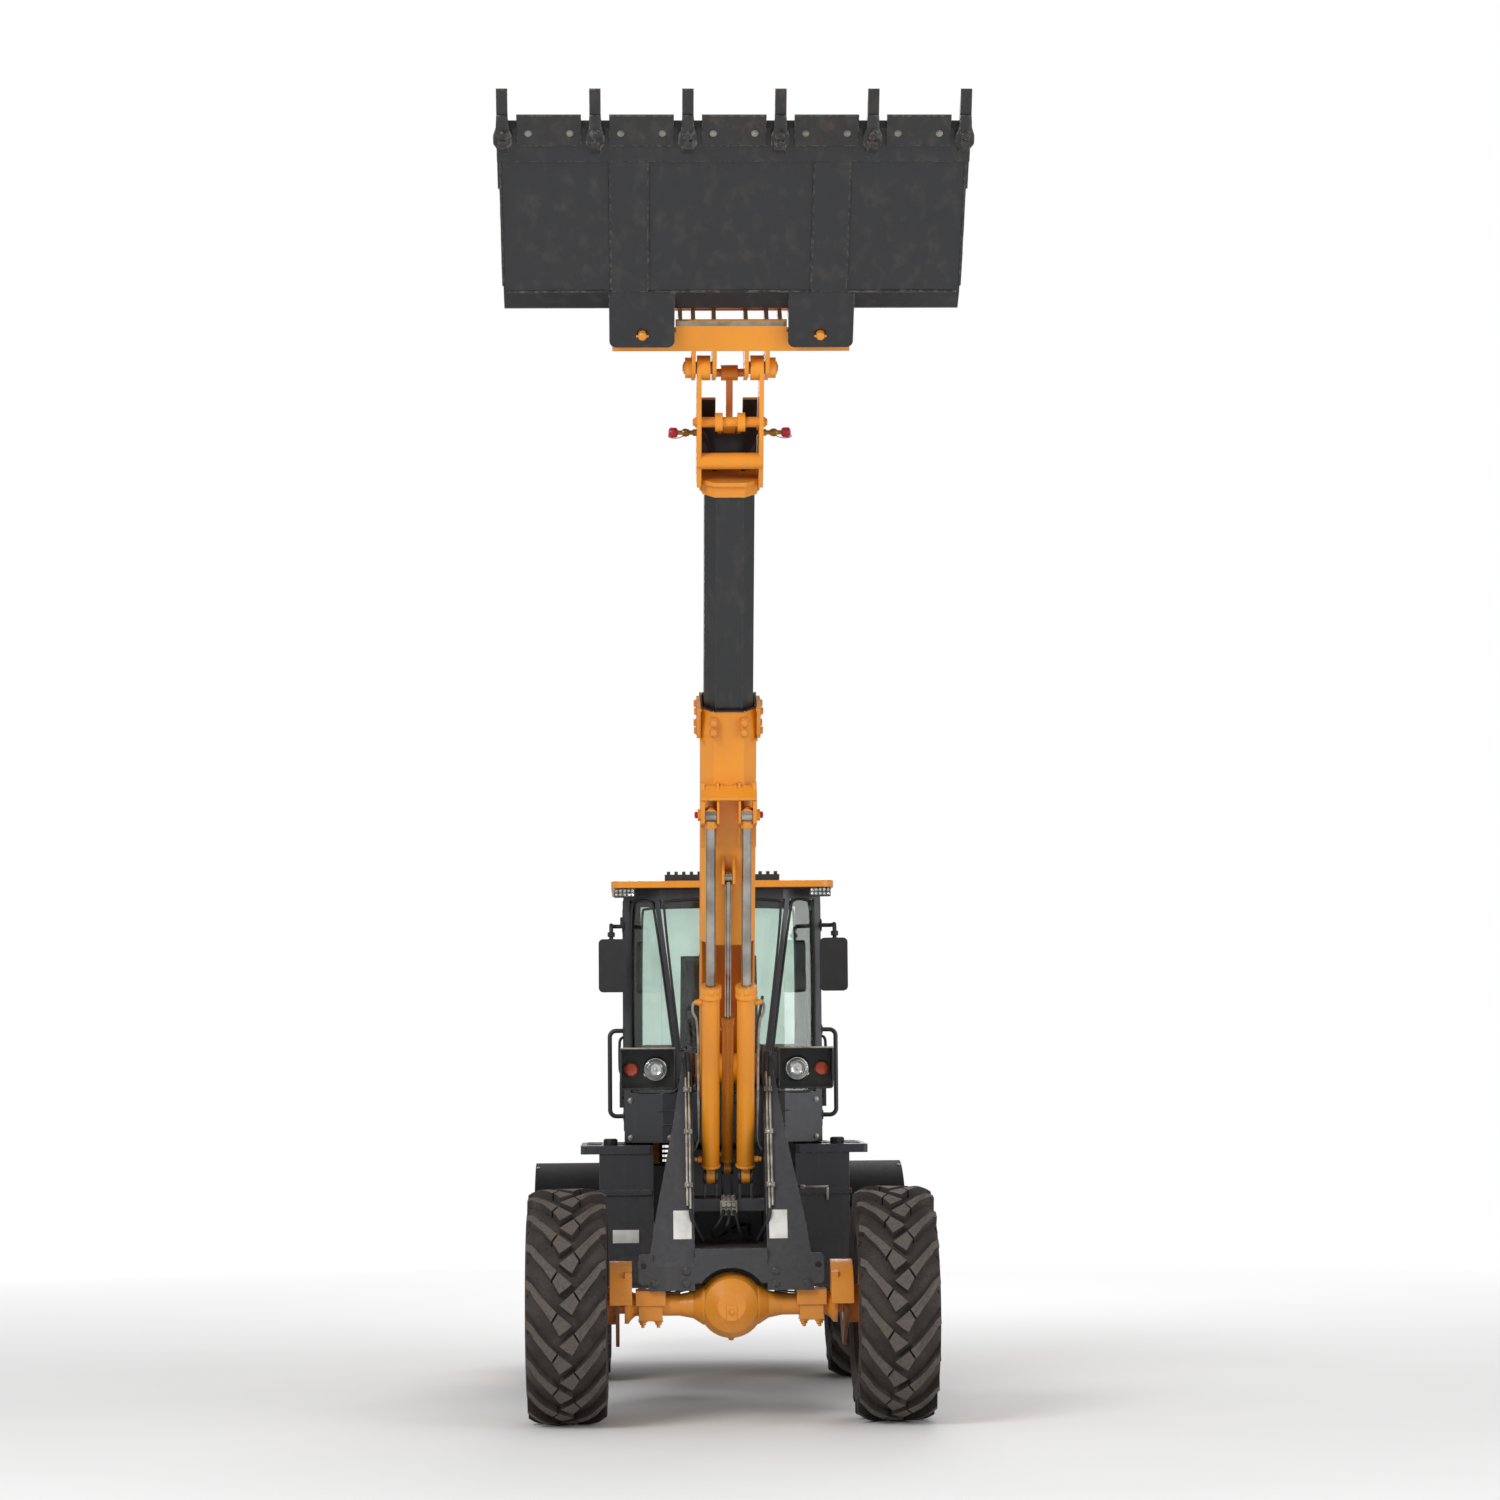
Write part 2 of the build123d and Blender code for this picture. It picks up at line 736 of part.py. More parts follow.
def outer_boom():
    half = outer_boom_width / 2
    body = boom_tube(outer_boom_width, outer_boom_height, outer_boom_corner, outer_boom_wall,
                     -outer_boom_tail, outer_boom_front)
    open_floor = block(-half - 5, half + 5, -outer_boom_floor_start, outer_boom_tail + 5,
                       -outer_boom_height, -outer_boom_height / 2 + outer_boom_corner)
    body -= open_floor
    boss = x_bar(0, 0, 80, -165, 165)
    body += boss
    body -= x_bar(0, 0, boom_pin_radius + bearing_gap, -200, 200)

    ear_outline = along([(1895, 60), (2065, 30), (2065, -150), (1895, -120)])
    body += both_sides(side_plate(ear_outline, half, half + 20))

    low = -outer_boom_height / 2
    pad = block(60, 92, -(outer_boom_front - 30), -(outer_boom_front - 130), low - 18, low)
    body += both_sides(pad)

    # The rear edges hug the eyes, so that the glands come up close when the boom is down.
    s0, t0 = lift_eye_s, lift_eye_t
    front = s0 + lift_bracket_length - 200
    bracket = along([(front - lift_bracket_length, low + 4), (front - lift_bracket_length, low - 8),
                     (s0 - 84, low - 12), (s0 - 50, t0 - 8), (s0 - 30, t0 - lift_bracket_reach + 3),
                     (s0 + 45, t0 - lift_bracket_reach), (front, low - 12), (front, low + 4)])
    eye = lift_spacing / 2
    for x0, x1 in ((-eye - 50, -eye - 30), (-eye + 30, -eye + 42), (eye - 42, eye - 30),
                   (eye + 30, eye + 50)):
        body += side_plate(bracket, x0, x1)
    cover = along([(s0 + 85, low + 4), (s0 + 85, t0 - 20), (s0 + 101, t0 - 20), (s0 + 135, low - 12),
                   (s0 + 135, low + 4)])
    body += side_plate(cover, -eye - 50, eye + 50)
    for side in (-1, 1):
        body += x_bar(-s0, t0, 30, side * (eye + 50), side * (eye + 66))

    s0, t0 = level_eye_s, level_eye_t
    lug = along([(s0 - 64, low + 4), (s0 - 46, t0 - 4), (s0 - 30, t0 - level_lug_reach),
                 (s0 + 40, t0 - level_lug_reach), (s0 + 100, low + 4)])
    for x0, x1 in ((-36, -20), (20, 36)):
        body += side_plate(lug, x0, x1)
    return boom_frame * body


def inner_boom():
    body = boom_tube(inner_boom_width, inner_boom_height, inner_boom_corner, inner_boom_wall,
                     inner_boom_rear, inner_boom_front)
    pad = outer_boom_height / 2 - outer_boom_wall - inner_boom_height / 2 - 0.5
    top = inner_boom_height / 2
    rear = inner_boom_rear
    body += block(-60, 60, -(rear + 140), -(rear + 20), top - 1, top + pad)
    body += block(-60, 60, -(rear + 140), -(rear + 20), -top - pad, -top + 1)
    return boom_frame * body


def boom_head():
    """Collar, two side plates, cross tube and bellcrank pin at the end of the inner boom."""
    collar = boom_prism(inner_boom_width + 24, inner_boom_height + 24, inner_boom_corner + 6,
                        collar_start, inner_boom_front)
    collar -= boom_prism(inner_boom_width, inner_boom_height, inner_boom_corner,
                         collar_start - 10, inner_boom_front + 1)
    flange = boom_prism(310, 350, 74, inner_boom_front, inner_boom_front + 22)
    body = collar + flange
    x1 = head_plate_outer_x
    x0 = x1 - head_plate_thickness
    front = inner_boom_front
    outline = along([(front - 10, -150), (front - 10, 120), (hinge_s - 330, 118), (hinge_s - 180, 60),
                     (hinge_s - 40, hinge_t + 54), (hinge_s, hinge_t + hinge_boss_radius),
                     (hinge_s, hinge_t - hinge_boss_radius), (hinge_s - 50, hinge_t - 58),
                     (hinge_s - 340, hinge_t - 66)])
    plate = side_plate(outline, x0, x1)
    plate += x_bar(-hinge_s, hinge_t, hinge_boss_radius, x0, x1)
    boss = x_bar(-hinge_s, hinge_t, hinge_boss_radius, 96, x1)
    plate += boss
    plate -= x_bar(-hinge_s, hinge_t, hinge_pin_radius + bearing_gap, 60, x1 + 20)
    body += both_sides(plate)
    body += x_bar(-head_tube_s, head_tube_t, head_tube_radius, -x1, x1)
    body += x_bar(-(hinge_s - tilt_link_length), hinge_t, bellcrank_pin_radius, -x1 - 8, x1 + 8)
    return boom_frame * body


def turned(length, angle):
    return length * cos(radians(angle)), length * sin(radians(angle))


def bellcrank():
    """Two swing plates on the head's pin, joined by the link pin."""
    ds, dt = turned(tilt_arm, tilt_arm_angle)
    pivot = (hinge_s - tilt_link_length, hinge_t)
    tip = (pivot[0] + ds, pivot[1] + dt)
    nx, ny = turned(1, tilt_arm_angle + 90)
    wide, slim = 44, 32
    outline = along([
        (pivot[0] + nx * wide, pivot[1] + ny * wide), (tip[0] + nx * slim, tip[1] + ny * slim),
        (tip[0] - nx * slim, tip[1] - ny * slim), (pivot[0] - nx * wide, pivot[1] - ny * wide)])
    plate = side_plate(outline, 36, 52)
    plate += x_bar(-pivot[0], pivot[1], 46, 36, 73)
    plate += x_bar(-tip[0], tip[1], 36, 36, 56)
    plate -= x_bar(-pivot[0], pivot[1], bellcrank_pin_radius + bearing_gap, 20, 90)
    body = both_sides(plate) + x_bar(-tip[0], tip[1], link_pin_radius, -56, 56)
    return boom_frame * body


def tilt_link():
    ds, dt = turned(tilt_arm, tilt_arm_angle)
    rear = (hinge_s - tilt_link_length + ds, hinge_t + dt)
    front = (hinge_s + ds, hinge_t + dt)
    web = side_plate(along([(rear[0], rear[1] - 20), (rear[0], rear[1] + 20),
                            (front[0], front[1] + 24), (front[0], front[1] - 24)]), -16, 16)
    body = web + x_bar(-rear[0], rear[1], 34, -30, 30) + x_bar(-front[0], front[1], 38, -41, 41)
    for s, t in (rear, front):
        body -= x_bar(-s, t, link_pin_radius + bearing_gap, -60, 60)
    return boom_frame * body


# Coupler and bucket, in the bucket's own frame with the hinge at the origin

def coupler():
    arm_angle = tilt_arm_angle + boom_angle - bucket_angle
    cu, cv = turned(tilt_arm, arm_angle)
    back, front = coupler_beam_back, coupler_beam_front
    half = coupler_width / 2
    ear_outline = along([(0, -55), (-30, -46), (-52, 20), (cu - 42, cv), (cu, cv + 44),
                         (back + 20, 330), (back + 60, 330), (back + 60, -60), (60, -60)])
    inner_ear = side_plate(ear_outline, 67, 87)
    outer_ear = side_plate(ear_outline, 167, 187)
    hinge = x_bar(0, 0, hinge_pin_radius, 67, 225)
    collar = x_bar(0, 0, 50, 187, 218)
    body = both_sides(inner_ear + outer_ear + hinge + collar)
    body += x_bar(-cu, cv, link_pin_radius, -80, 80)

    beam = side_plate(along([(back, -60), (front, -60), (front, -42), (back + 80, 30),
                             (back, 30)]), -half, half)
    body += beam
    body += block(-265, 265, -(front + 60), -front + 2, -60, -44)
    low_v, high_v = coupler_bar_low_v, coupler_bar_high_v
    top = rounded_side_plate(along([(back + 20, low_v), (back + 84, low_v), (back + 84, high_v),
                                    (back + 20, high_v)]), (0, 1, 2, 3), 18, -half, half)
    body += top
    for x in (-half, -250, 230, half - 20):
        rib = side_plate(along([(back + 22, 0), (back + 80, 0), (back + 80, low_v + 10),
                                (back + 22, low_v + 10)]), x, x + 20)
        body += rib
    for x in (-lock_pin_x, lock_pin_x):
        sleeve = z_bar(x, -lock_pin_u, 32, -76, 40)
        arm = block(x - 34, x + 34, -lock_pin_u, -(front - 12), -60, 20)
        pin = z_bar(x, -lock_pin_u, 20, -116, 60)
        knob = z_bar(x, -lock_pin_u, 34, 40, 64)
        body += sleeve + arm + pin + knob
    return bucket_frame * body


def bucket_outline(inset):
    """Side view of the bucket's inside or outside; the mouth side of the inside is left open."""
    low = -bucket_floor_below_hinge + inset
    back = bucket_back_u + inset
    lip = bucket_lip_u
    top = bucket_top_v
    if inset == 0:
        mouth = [(back + 130, top), (back + 190, top), (back + 440, top - 210), (lip, low + 110)]
    else:
        mouth = [(back + 128, top + 40), (lip + 300, top + 40), (lip + 300, low)]
    return along([(lip, low), (bucket_bend_u, low), (back + 24, low + 42), (back, low + 130),
                  (back, top - 260), (back + 60, top - 90)] + mouth)


def bucket():
    """Rolled shell between two cheeks, with edge plates, wear strips and the coupler's brackets."""
    low = -bucket_floor_below_hinge
    half = bucket_width / 2
    outer = rounded_face(bucket_outline(0), (2, 3, 4, 5), bucket_corner)
    inner = rounded_face(bucket_outline(bucket_plate), (2, 3, 4, 5), bucket_corner)
    filled = extrude(Plane.YZ.offset(-half) * outer, amount=2 * half)
    hollow = extrude(Plane.YZ.offset(-half + bucket_side_plate) * inner,
                     amount=2 * (half - bucket_side_plate))
    shell = filled - hollow

    back, front, thick = edge_plate_back_u, edge_plate_front_u, edge_plate_thickness
    shell += side_plate(along([(back, low - thick), (front - 30, low - thick), (front, low - 4),
                               (front, low + 4), (back, low + 4)]), -half - 14, half + 14)
    cheek_edge = side_plate(along([(back - 150, low + 6), (lip_edge_u, low + 6), (lip_edge_u, low + 70),
                                   (back - 90, low + 300), (back - 170, low + 300)]), half - 4, half + 14)
    shell += both_sides(cheek_edge)
    # Wear strips under the floor: inner edge and outer edge across the machine.
    for x0, x1 in ((-570, -395), (375, 540)):
        shell += block(x0, x1, -(back + 2), -(bucket_bend_u + 10), low - 14, low + 2)
    shell += side_plate(along([(bucket_back_u + 128, bucket_top_v - 24), (bucket_back_u + 128, bucket_top_v + 14),
                               (bucket_back_u + 196, bucket_top_v + 14),
                               (bucket_back_u + 196, bucket_top_v - 14)]), -half, half)
    shell += both_sides(bucket_bracket())
    return bucket_frame * shell


def bucket_bracket():
    """Bottom plate with the lock-pin slot, two ribs up the back and a hook over the top bar."""
    low = -bucket_floor_below_hinge
    x0, x1 = bracket_inner_x, bracket_outer_x
    thick = bracket_plate
    plate = block(x0, x1, -(bucket_bend_u + 20), -bracket_back_u, low, low + thick)
    plate = fillet(plate.edges().filter_by(Axis.Z).sort_by(Axis.Y)[-2:], 34)
    hole = z_bar(lock_pin_x, -lock_pin_u, 24, low - 5, low + 30)
    hole += block(lock_pin_x - 24, lock_pin_x + 24, -(lock_pin_u + 22), -lock_pin_u, low - 5, low + 30)
    plate -= hole
    start = coupler_beam_front + 66
    back = bucket_back_u
    hook_v = coupler_bar_high_v
    rib = along([(start, low + thick - 2), (back + 80, low + thick - 2), (back + 14, low + 80), (back + 6, low + 160),
                 (back + 6, hook_v + 74), (back - 60, hook_v + 84), (coupler_beam_back + 34, hook_v + 40),
                 (coupler_beam_back + 16, hook_v), (start, hook_v)])
    return plate + side_plate(rib, x0, x0 + 16) + side_plate(rib, x1 - 16, x1)


def bucket_teeth():
    """Six teeth clamped under the edge plate and five bolt-on plates between them."""
    low = -bucket_floor_below_hinge - edge_plate_thickness
    front = edge_plate_front_u
    half = bucket_width / 2
    pitch = (bucket_width - tooth_width + 20) / (tooth_count - 1)
    first = -half - 10 + tooth_width / 2
    shank = along([(front - 152, low), (front - 150, low - 20), (front - 110, low - 38), (front - 20, low - 40),
                   (tooth_tip_u, low + 2), (tooth_tip_u, low + 14), (front + 1, low + 30), (front + 1, low)])
    body = Part()
    for number in range(tooth_count):
        x = first + number * pitch
        body += side_plate(shank, x - tooth_width / 2, x + tooth_width / 2)
        body += cross_tooth_base(x, front - 70, low)
    plate_half = pitch / 2 - tooth_width / 2 - 38
    for number in range(tooth_count - 1):
        x = first + (number + 0.5) * pitch
        body += block(x - plate_half, x + plate_half, -(front + 40), -(front - 112), low - 14, low)
    return bucket_frame * body


def cross_tooth_base(x, u, low):
    """Round clamp pad that the tooth's bolts go through."""
    return Pos(x, -u, low - 13) * Cylinder(44, 26)


# Rear body

def rear_frame():
    x0, x1 = member_inner_x, member_inner_x + member_plate
    outline = [(member_front_y, 600), (member_front_y, 1330), (2240, 1330), (2285, 1000),
               (member_rear_y, 1000), (member_rear_y, 700), (2900, tower_foot_z),
               (2250, tower_foot_z), (1700, 600)]
    side = side_plate(outline, x0, x1)
    lug_gap = steer_eye_width / 2 + pin_side_gap
    lug = [(x0 + 10, steer_base_y - 34), (steer_base_x + 20, steer_base_y - 34),
           (steer_base_x + 46, steer_base_y), (steer_base_x + 20, steer_base_y + 44),
           (x0 + 10, steer_base_y + 90)]
    side += flat_plate(lug, steer_z + lug_gap, steer_z + lug_gap + 18)
    side += flat_plate(lug, steer_z - lug_gap - 18, steer_z - lug_gap)
    side += block(x0, x1, steer_base_y - 90, steer_base_y + 90, steer_z - lug_gap - 18, 680)
    side += z_bar(steer_base_x, steer_base_y, 16, steer_z - lug_gap - 26, steer_z + lug_gap + 26)
    for y in (box_front_y + 400, box_rear_y - 60):
        side += block(x1 - 5, box_inner_x, y, y + 20, 700, 1240)
    side += block(x0 - 5, 470, wheelbase - 80, wheelbase + 80, tower_foot_z, tower_foot_z + 30)
    side += block(x1 - 5, fender_inner_x - 14, wheelbase - 60, wheelbase + 60, 940, 960)
    post = side_plate([(2236, 990), (2236, hood_hinge_z - 30), (hood_hinge_y - 10, hood_hinge_z + 16),
                       (hood_hinge_y + 12, hood_hinge_z + 8), (hood_hinge_y - 6, hood_hinge_z - 60),
                       (2276, 990)], x0, x1)
    side += post + x_bar(hood_hinge_y, hood_hinge_z, hood_pin_radius, x0, x1 + 26)
    body = both_sides(side)

    front = block(-x1, x1, member_front_y, member_front_y + 25, 600, 1330)
    front += block(-190, 190, member_front_y, member_front_y + 25, 470, 610)
    body += front
    for y in (1900, 2215):
        body += block(-x0, x0, y, y + 20, 700, 1320)
    body += block(-x0, x0, member_rear_y - 150, member_rear_y - 120, 700, 1000)
    for z_middle in (pivot_low_z, pivot_high_z):
        step = pivot_ear_thickness + pin_side_gap
        for z in (z_middle - step, z_middle + step):
            half = pivot_ear_thickness / 2
            body += block(-pivot_ear_radius, pivot_ear_radius, pivot_y, member_front_y + 5, z - half, z + half)
            body += z_bar(0, pivot_y, pivot_ear_radius, z - half, z + half)
        body += z_bar(0, pivot_y, pivot_pin_radius, z_middle - step - 24, z_middle + step + 24)
    deck = block(-x1, x1, member_front_y, 2240, 1310, 1330)
    return body + deck


def side_box(side):
    """Tank with its lid, step strip and toe recess."""
    x0, x1 = box_inner_x, box_outer_x
    lid_low = lid_top_z - lid_thickness
    body = block(x0, x1, box_front_y + 10, box_rear_y, box_floor_z, lid_low)
    body = fillet(body.edges().filter_by(Axis.X).sort_by(Axis.Z)[:2], 40)
    body -= block(x1 - 130, x1 + 5, box_front_y + 330, box_rear_y - 150, 860, 1090)
    lid = block(x0, lid_outer_x, box_front_y, box_rear_y, lid_low, lid_top_z)
    lid = fillet(lid.edges().filter_by(Axis.Z), 22)
    strip = block(x0 + 10, x1 + 12, box_front_y - 4, box_front_y + 30, 1096, 1124)
    body += lid + strip
    return body if side > 0 else mirrored(body)


def tank_caps():
    cap = z_bar(610, box_front_y + 90, 36, lid_top_z, lid_top_z + 34)
    return both_sides(cap)


def rear_fenders():
    """Quarter shells over the rear tyres with an inner wall on the frame's bracket."""
    radius = fender_inner_radius
    thickness = 12
    wedge = side_plate([(0, 0), (-560, 470), (-560, 900), (560, 900), (560, 470)], fender_inner_x,
                       fender_outer_x)
    ring = x_bar(0, 0, radius + thickness, fender_inner_x, fender_outer_x)
    ring -= x_bar(0, 0, radius, fender_inner_x - 1, fender_outer_x + 1)
    arch = ring & wedge
    wall_wedge = side_plate([(-420, 352), (-560, 470), (-560, 900), (560, 900), (560, 470), (420, 352)],
                            fender_inner_x - 14, fender_inner_x)
    wall = x_bar(0, 0, radius + thickness, fender_inner_x - 14, fender_inner_x) & wall_wedge
    skirt_ring = x_bar(0, 0, radius + thickness, fender_outer_x - 10, fender_outer_x)
    skirt_ring -= x_bar(0, 0, radius - 40, fender_outer_x - 11, fender_outer_x + 1)
    skirt = skirt_ring & wedge
    shell = Pos(0, wheelbase, axle_height) * (arch + wall + skirt)
    return both_sides(shell)


def counterweight():
    half = weight_half_width
    low = 520
    body = side_plate([(weight_front_y, 700), (weight_front_y, weight_top_z),
                       (weight_rear_y - 20, weight_top_z), (weight_rear_y, weight_top_z - 40),
                       (weight_rear_y, low + 60), (weight_rear_y - 40, low), (3860, low)], -half, half)
    body = fillet(body.edges().filter_by(Axis.Z).sort_by(Axis.Y)[-2:], 40)
    x0, x1 = member_inner_x, member_inner_x + member_plate
    slot = block(x0, x1, weight_front_y - 5, member_rear_y, 600, weight_top_z + 5)
    body -= both_sides(slot)
    body -= block(-x0, x0, member_rear_y - 150, member_rear_y - 120, 600, weight_top_z + 5)
    body -= block(-60, 60, weight_rear_y - 90, weight_rear_y + 5, tow_low_z, tow_high_z)
    return body


def tow_hitch():
    y0 = weight_rear_y - 90
    y1 = weight_rear_y + 60
    body = block(-60, 60, y0, y1, tow_low_z, tow_low_z + tow_cheek)
    body += block(-60, 60, y0, y1, tow_high_z - tow_cheek, tow_high_z)
    body += block(-60, 60, y0, y0 + 24, tow_low_z, tow_high_z)
    return body - z_bar(0, tow_bore_y, tow_bore_radius, tow_low_z - 5, tow_high_z + 5)


def rear_lamps():
    return both_sides(block(620, 790, weight_rear_y, weight_rear_y + 22, 900, 980))


def engine_block():
    return block(-member_inner_x, member_inner_x, 2700, 3560, engine_low_z, 1560)


def exhaust_pipe():
    return pipe([(0, 3420, engine_low_z), (0, 3420, 590), (-560, 3440, 590)], 60, 32)


def hood_form(inset):
    """Side outline and rounded cross-section together; the front edge and the floor stay open."""
    front, rear, high = hood_front_y - inset, hood_rear_y - inset, hood_high_z - inset
    low = hood_low_z - inset
    half = hood_half_width - inset
    radius = hood_corner - inset
    side = make_face(Polyline((front, low), (front, high), (3250, high - 24), (rear - 260, high - 130),
                              (rear - 60, high - 420), (rear, high - 520), (rear, low), close=True))
    vertices = side.vertices().sort_by(Axis.X)
    side = fillet(vertices[-4:-2], 160 - inset)
    length = extrude(Plane.YZ.offset(-half) * side, amount=2 * half)
    arch = make_face(Polyline((-half, low), (-half, high), (half, high), (half, low), close=True))
    arch = fillet(arch.vertices().group_by(Axis.Y)[-1], radius)
    across = extrude(Plane.XZ.offset(-rear - 5) * arch, amount=rear - front + 10)
    return length & across


def hood():
    """Sheet shell with louvres, a grille opening and two hinge ears under its front edge."""
    body = hood_form(0) - hood_form(hood_wall)
    for number in range(louvre_count):
        z = louvre_low_z + number * louvre_pitch
        body -= block(-hood_half_width - 5, hood_half_width + 5, 3250, 3700, z, z + louvre_pitch / 2)
    body -= block(-grille_half_width, grille_half_width, hood_rear_y - 40, hood_rear_y + 5,
                  grille_low_z, grille_high_z)
    x0 = member_inner_x + member_plate + pin_side_gap
    ear = side_plate([(hood_hinge_y, hood_hinge_z + 14), (hood_hinge_y, hood_hinge_z - 14),
                      (hood_hinge_y + 90, hood_high_z - hood_wall - 12), (hood_hinge_y + 110, hood_high_z - 5),
                      (hood_front_y + 4, hood_high_z - 5)], x0, x0 + 14)
    ear += x_bar(hood_hinge_y, hood_hinge_z, 14, x0, x0 + 14)
    ear -= x_bar(hood_hinge_y, hood_hinge_z, hood_pin_radius + bearing_gap, x0 - 5, x0 + 20)
    return body + both_sides(ear)


def hood_grille():
    """Frame and slats in the hood's rear opening."""
    y1 = hood_rear_y
    y0 = y1 - hood_wall
    half = grille_half_width
    frame = block(-half, half, y0, y1, grille_low_z, grille_high_z)
    frame -= block(-half + 20, half - 20, y0 - 1, y1 + 1, grille_low_z + 20, grille_high_z - 20)
    pitch = (grille_high_z - grille_low_z - 40) / slat_count
    for number in range(slat_count):
        z = grille_low_z + 20 + (number + 0.25) * pitch
        frame += block(-half + 18, half - 18, y0, y1, z, z + pitch / 2)
    return frame


# Cab

def cab_plan(inset):
    half = cab_half_width - inset
    return [(-half, cab_corner_y + inset * 0.6), (-cab_centre_half, cab_front_y + inset),
            (cab_centre_half, cab_front_y + inset), (half, cab_corner_y + inset * 0.6),
            (half, cab_rear_y - inset), (-half, cab_rear_y - inset)]


def cab_ring(inset, thickness, z0, z1):
    outer = flat_plate(cab_plan(inset), z0, z1)
    return outer - flat_plate(cab_plan(inset + thickness), z0 - 1, z1 + 1)


def front_window_cut(grow):
    """Centre pane narrows downward, and a corner pane fills each side to the post."""
    low, high = window_low_z - grow, window_high_z + grow
    y0, y1 = cab_front_y - 50, cab_corner_y + 60
    centre = cross_plate([(-206, low), (206, low), (340, high), (-340, high)], y0, y1)
    corner = cross_plate([(232, low), (500, low), (500, high), (366, high)], y0, y1)
    return centre + both_sides(corner)


def rear_window_cut():
    return block(-440, 440, cab_rear_y - 60, cab_rear_y + 10, 1700, window_high_z)


def door_cut(grow):
    y0, y1 = door_front_y - grow, door_rear_y + grow
    z0, z1 = door_low_z - grow, door_high_z + grow
    return block(cab_half_width - 60, cab_half_width + 10, y0, y1, z0, z1)


def door_window_cut():
    return block(cab_half_width - 60, cab_half_width + 10, door_front_y + 50, door_rear_y - 50,
                 1500, door_high_z - 50)


def cab_frame():
    z0 = cab_floor_z
    body = cab_ring(0, cab_wall, z0, cab_top_z)
    body += flat_plate(cab_plan(0), z0, z0 + cab_floor_thickness)
    body -= front_window_cut(0)
    body -= rear_window_cut()
    body -= both_sides(door_cut(running_gap))
    top = flat_plate(cab_plan(0), cab_top_z - 30, cab_top_z)
    body += top - flat_plate(cab_plan(150), cab_top_z - 31, cab_top_z + 1)
    for x in (-180, 180):
        for y in (1500, 2150):
            body += z_bar(x, y, 45, 1330, z0 + 5)
    return body


def cab_glass():
    pane = cab_ring(glass_inset, glass_thickness, window_low_z, window_high_z)
    return pane & (front_window_cut(0) + rear_window_cut())


def door(side):
    panel = cab_ring(0, cab_wall - 4, door_low_z, door_high_z) & door_cut(0)
    panel -= door_window_cut()
    knuckle = None
    for z in (1560, 2560):
        piece = z_bar(door_hinge_x, door_rear_y + 8, 9, z, z + 60)
        piece += block(cab_half_width + 2, door_hinge_x + 4, door_rear_y - 40, door_rear_y + 8, z, z + 60)
        piece += block(cab_half_width - 6, cab_half_width + 4, door_rear_y - 40, door_rear_y, z, z + 60)
        knuckle = piece if knuckle is None else knuckle + piece
    body = panel + knuckle
    handle = block(cab_half_width - 2, cab_half_width + 26, door_front_y + 14, door_front_y + 34, 1560, 1700)
    body += handle
    return body if side > 0 else mirrored(body)


def door_glass(side):
    pane = cab_ring(glass_inset, glass_thickness, door_low_z, door_high_z) & door_window_cut()
    return pane if side > 0 else mirrored(pane)


def cab_roof():
    """Crowned slab with rounded corners and a thin edge all round."""
    low = cab_top_z
    half = roof_half_width
    middle = (roof_front_y + roof_rear_y) / 2
    edge_z = low + roof_edge
    outline = Polyline((roof_front_y, edge_z), (roof_front_y, low), (roof_rear_y, low), (roof_rear_y, edge_z))
    outline += ThreePointArc((roof_rear_y, edge_z), (middle, low + roof_crown), (roof_front_y, edge_z))
    length = extrude(Plane.YZ.offset(-half) * make_face(outline), amount=2 * half)
    across = Polyline((-half, edge_z), (-half, low), (half, low), (half, edge_z))
    across += ThreePointArc((half, edge_z), (0, low + roof_crown + 4), (-half, edge_z))
    width = extrude(Plane.XZ.offset(-roof_rear_y - 5) * make_face(across), amount=roof_rear_y - roof_front_y + 10)
    plan = fillet(block(-half, half, roof_front_y, roof_rear_y, low - 5, low + 200).edges().filter_by(Axis.Z), 70)
    return length & width & plan


def roof_grille():
    """Low intake with upright bars, set into the roof near its front edge."""
    low = cab_top_z + roof_edge - 6
    high = cab_top_z + roof_crown + 28
    y0, y1 = roof_front_y + 75, roof_front_y + 130
    base = block(-310, 310, y0, y1, low, high - 16)
    for number in range(roof_bar_count):
        x = -310 + (number + 0.5) * 620 / roof_bar_count
        base += block(x - 9, x + 9, y0, y1, high - 18, high)
    return base - cab_roof()


def work_lamps():
    lamp = block(466, 588, roof_front_y + 4, roof_front_y + 74, cab_top_z - 50, cab_top_z)
    return both_sides(lamp)


def mirrors():
    arm = pipe([(cab_half_width, cab_corner_y + 22, 2540), (600, cab_corner_y + 22, 2540),
                (600, 1061, 2540), (600, 1061, 2440)], [30, 30], 11)
    head = block(520, 668, 1030, 1092, 2180, 2464)
    head = fillet(head.edges().filter_by(Axis.Y), 24)
    return both_sides(arm + head)


def grab_rails():
    y = cab_corner_y + 22
    rail = pipe([(cab_half_width, y, 1975), (612, y, 1975), (612, y, 1515),
                 (cab_half_width, y, 1515)], [34, 34], 12)
    return both_sides(rail)


def seat_base():
    floor = cab_floor_z + cab_floor_thickness
    return block(-210, 210, 1700, 2050, floor, 1700) + block(-230, 230, 1640, 2080, 1700, 1770)


def seat_cushion():
    pad = block(-240, 240, 1600, 2060, 1770, 1880)
    back = side_plate([(1960, 1880), (2100, 1880), (2160, 2420), (2060, 2420)], -230, 230)
    return pad + back


wheel_frame = Pos(0, 1400, 2000) * Rot(-28, 0, 0)
wheel_hub_height = 30


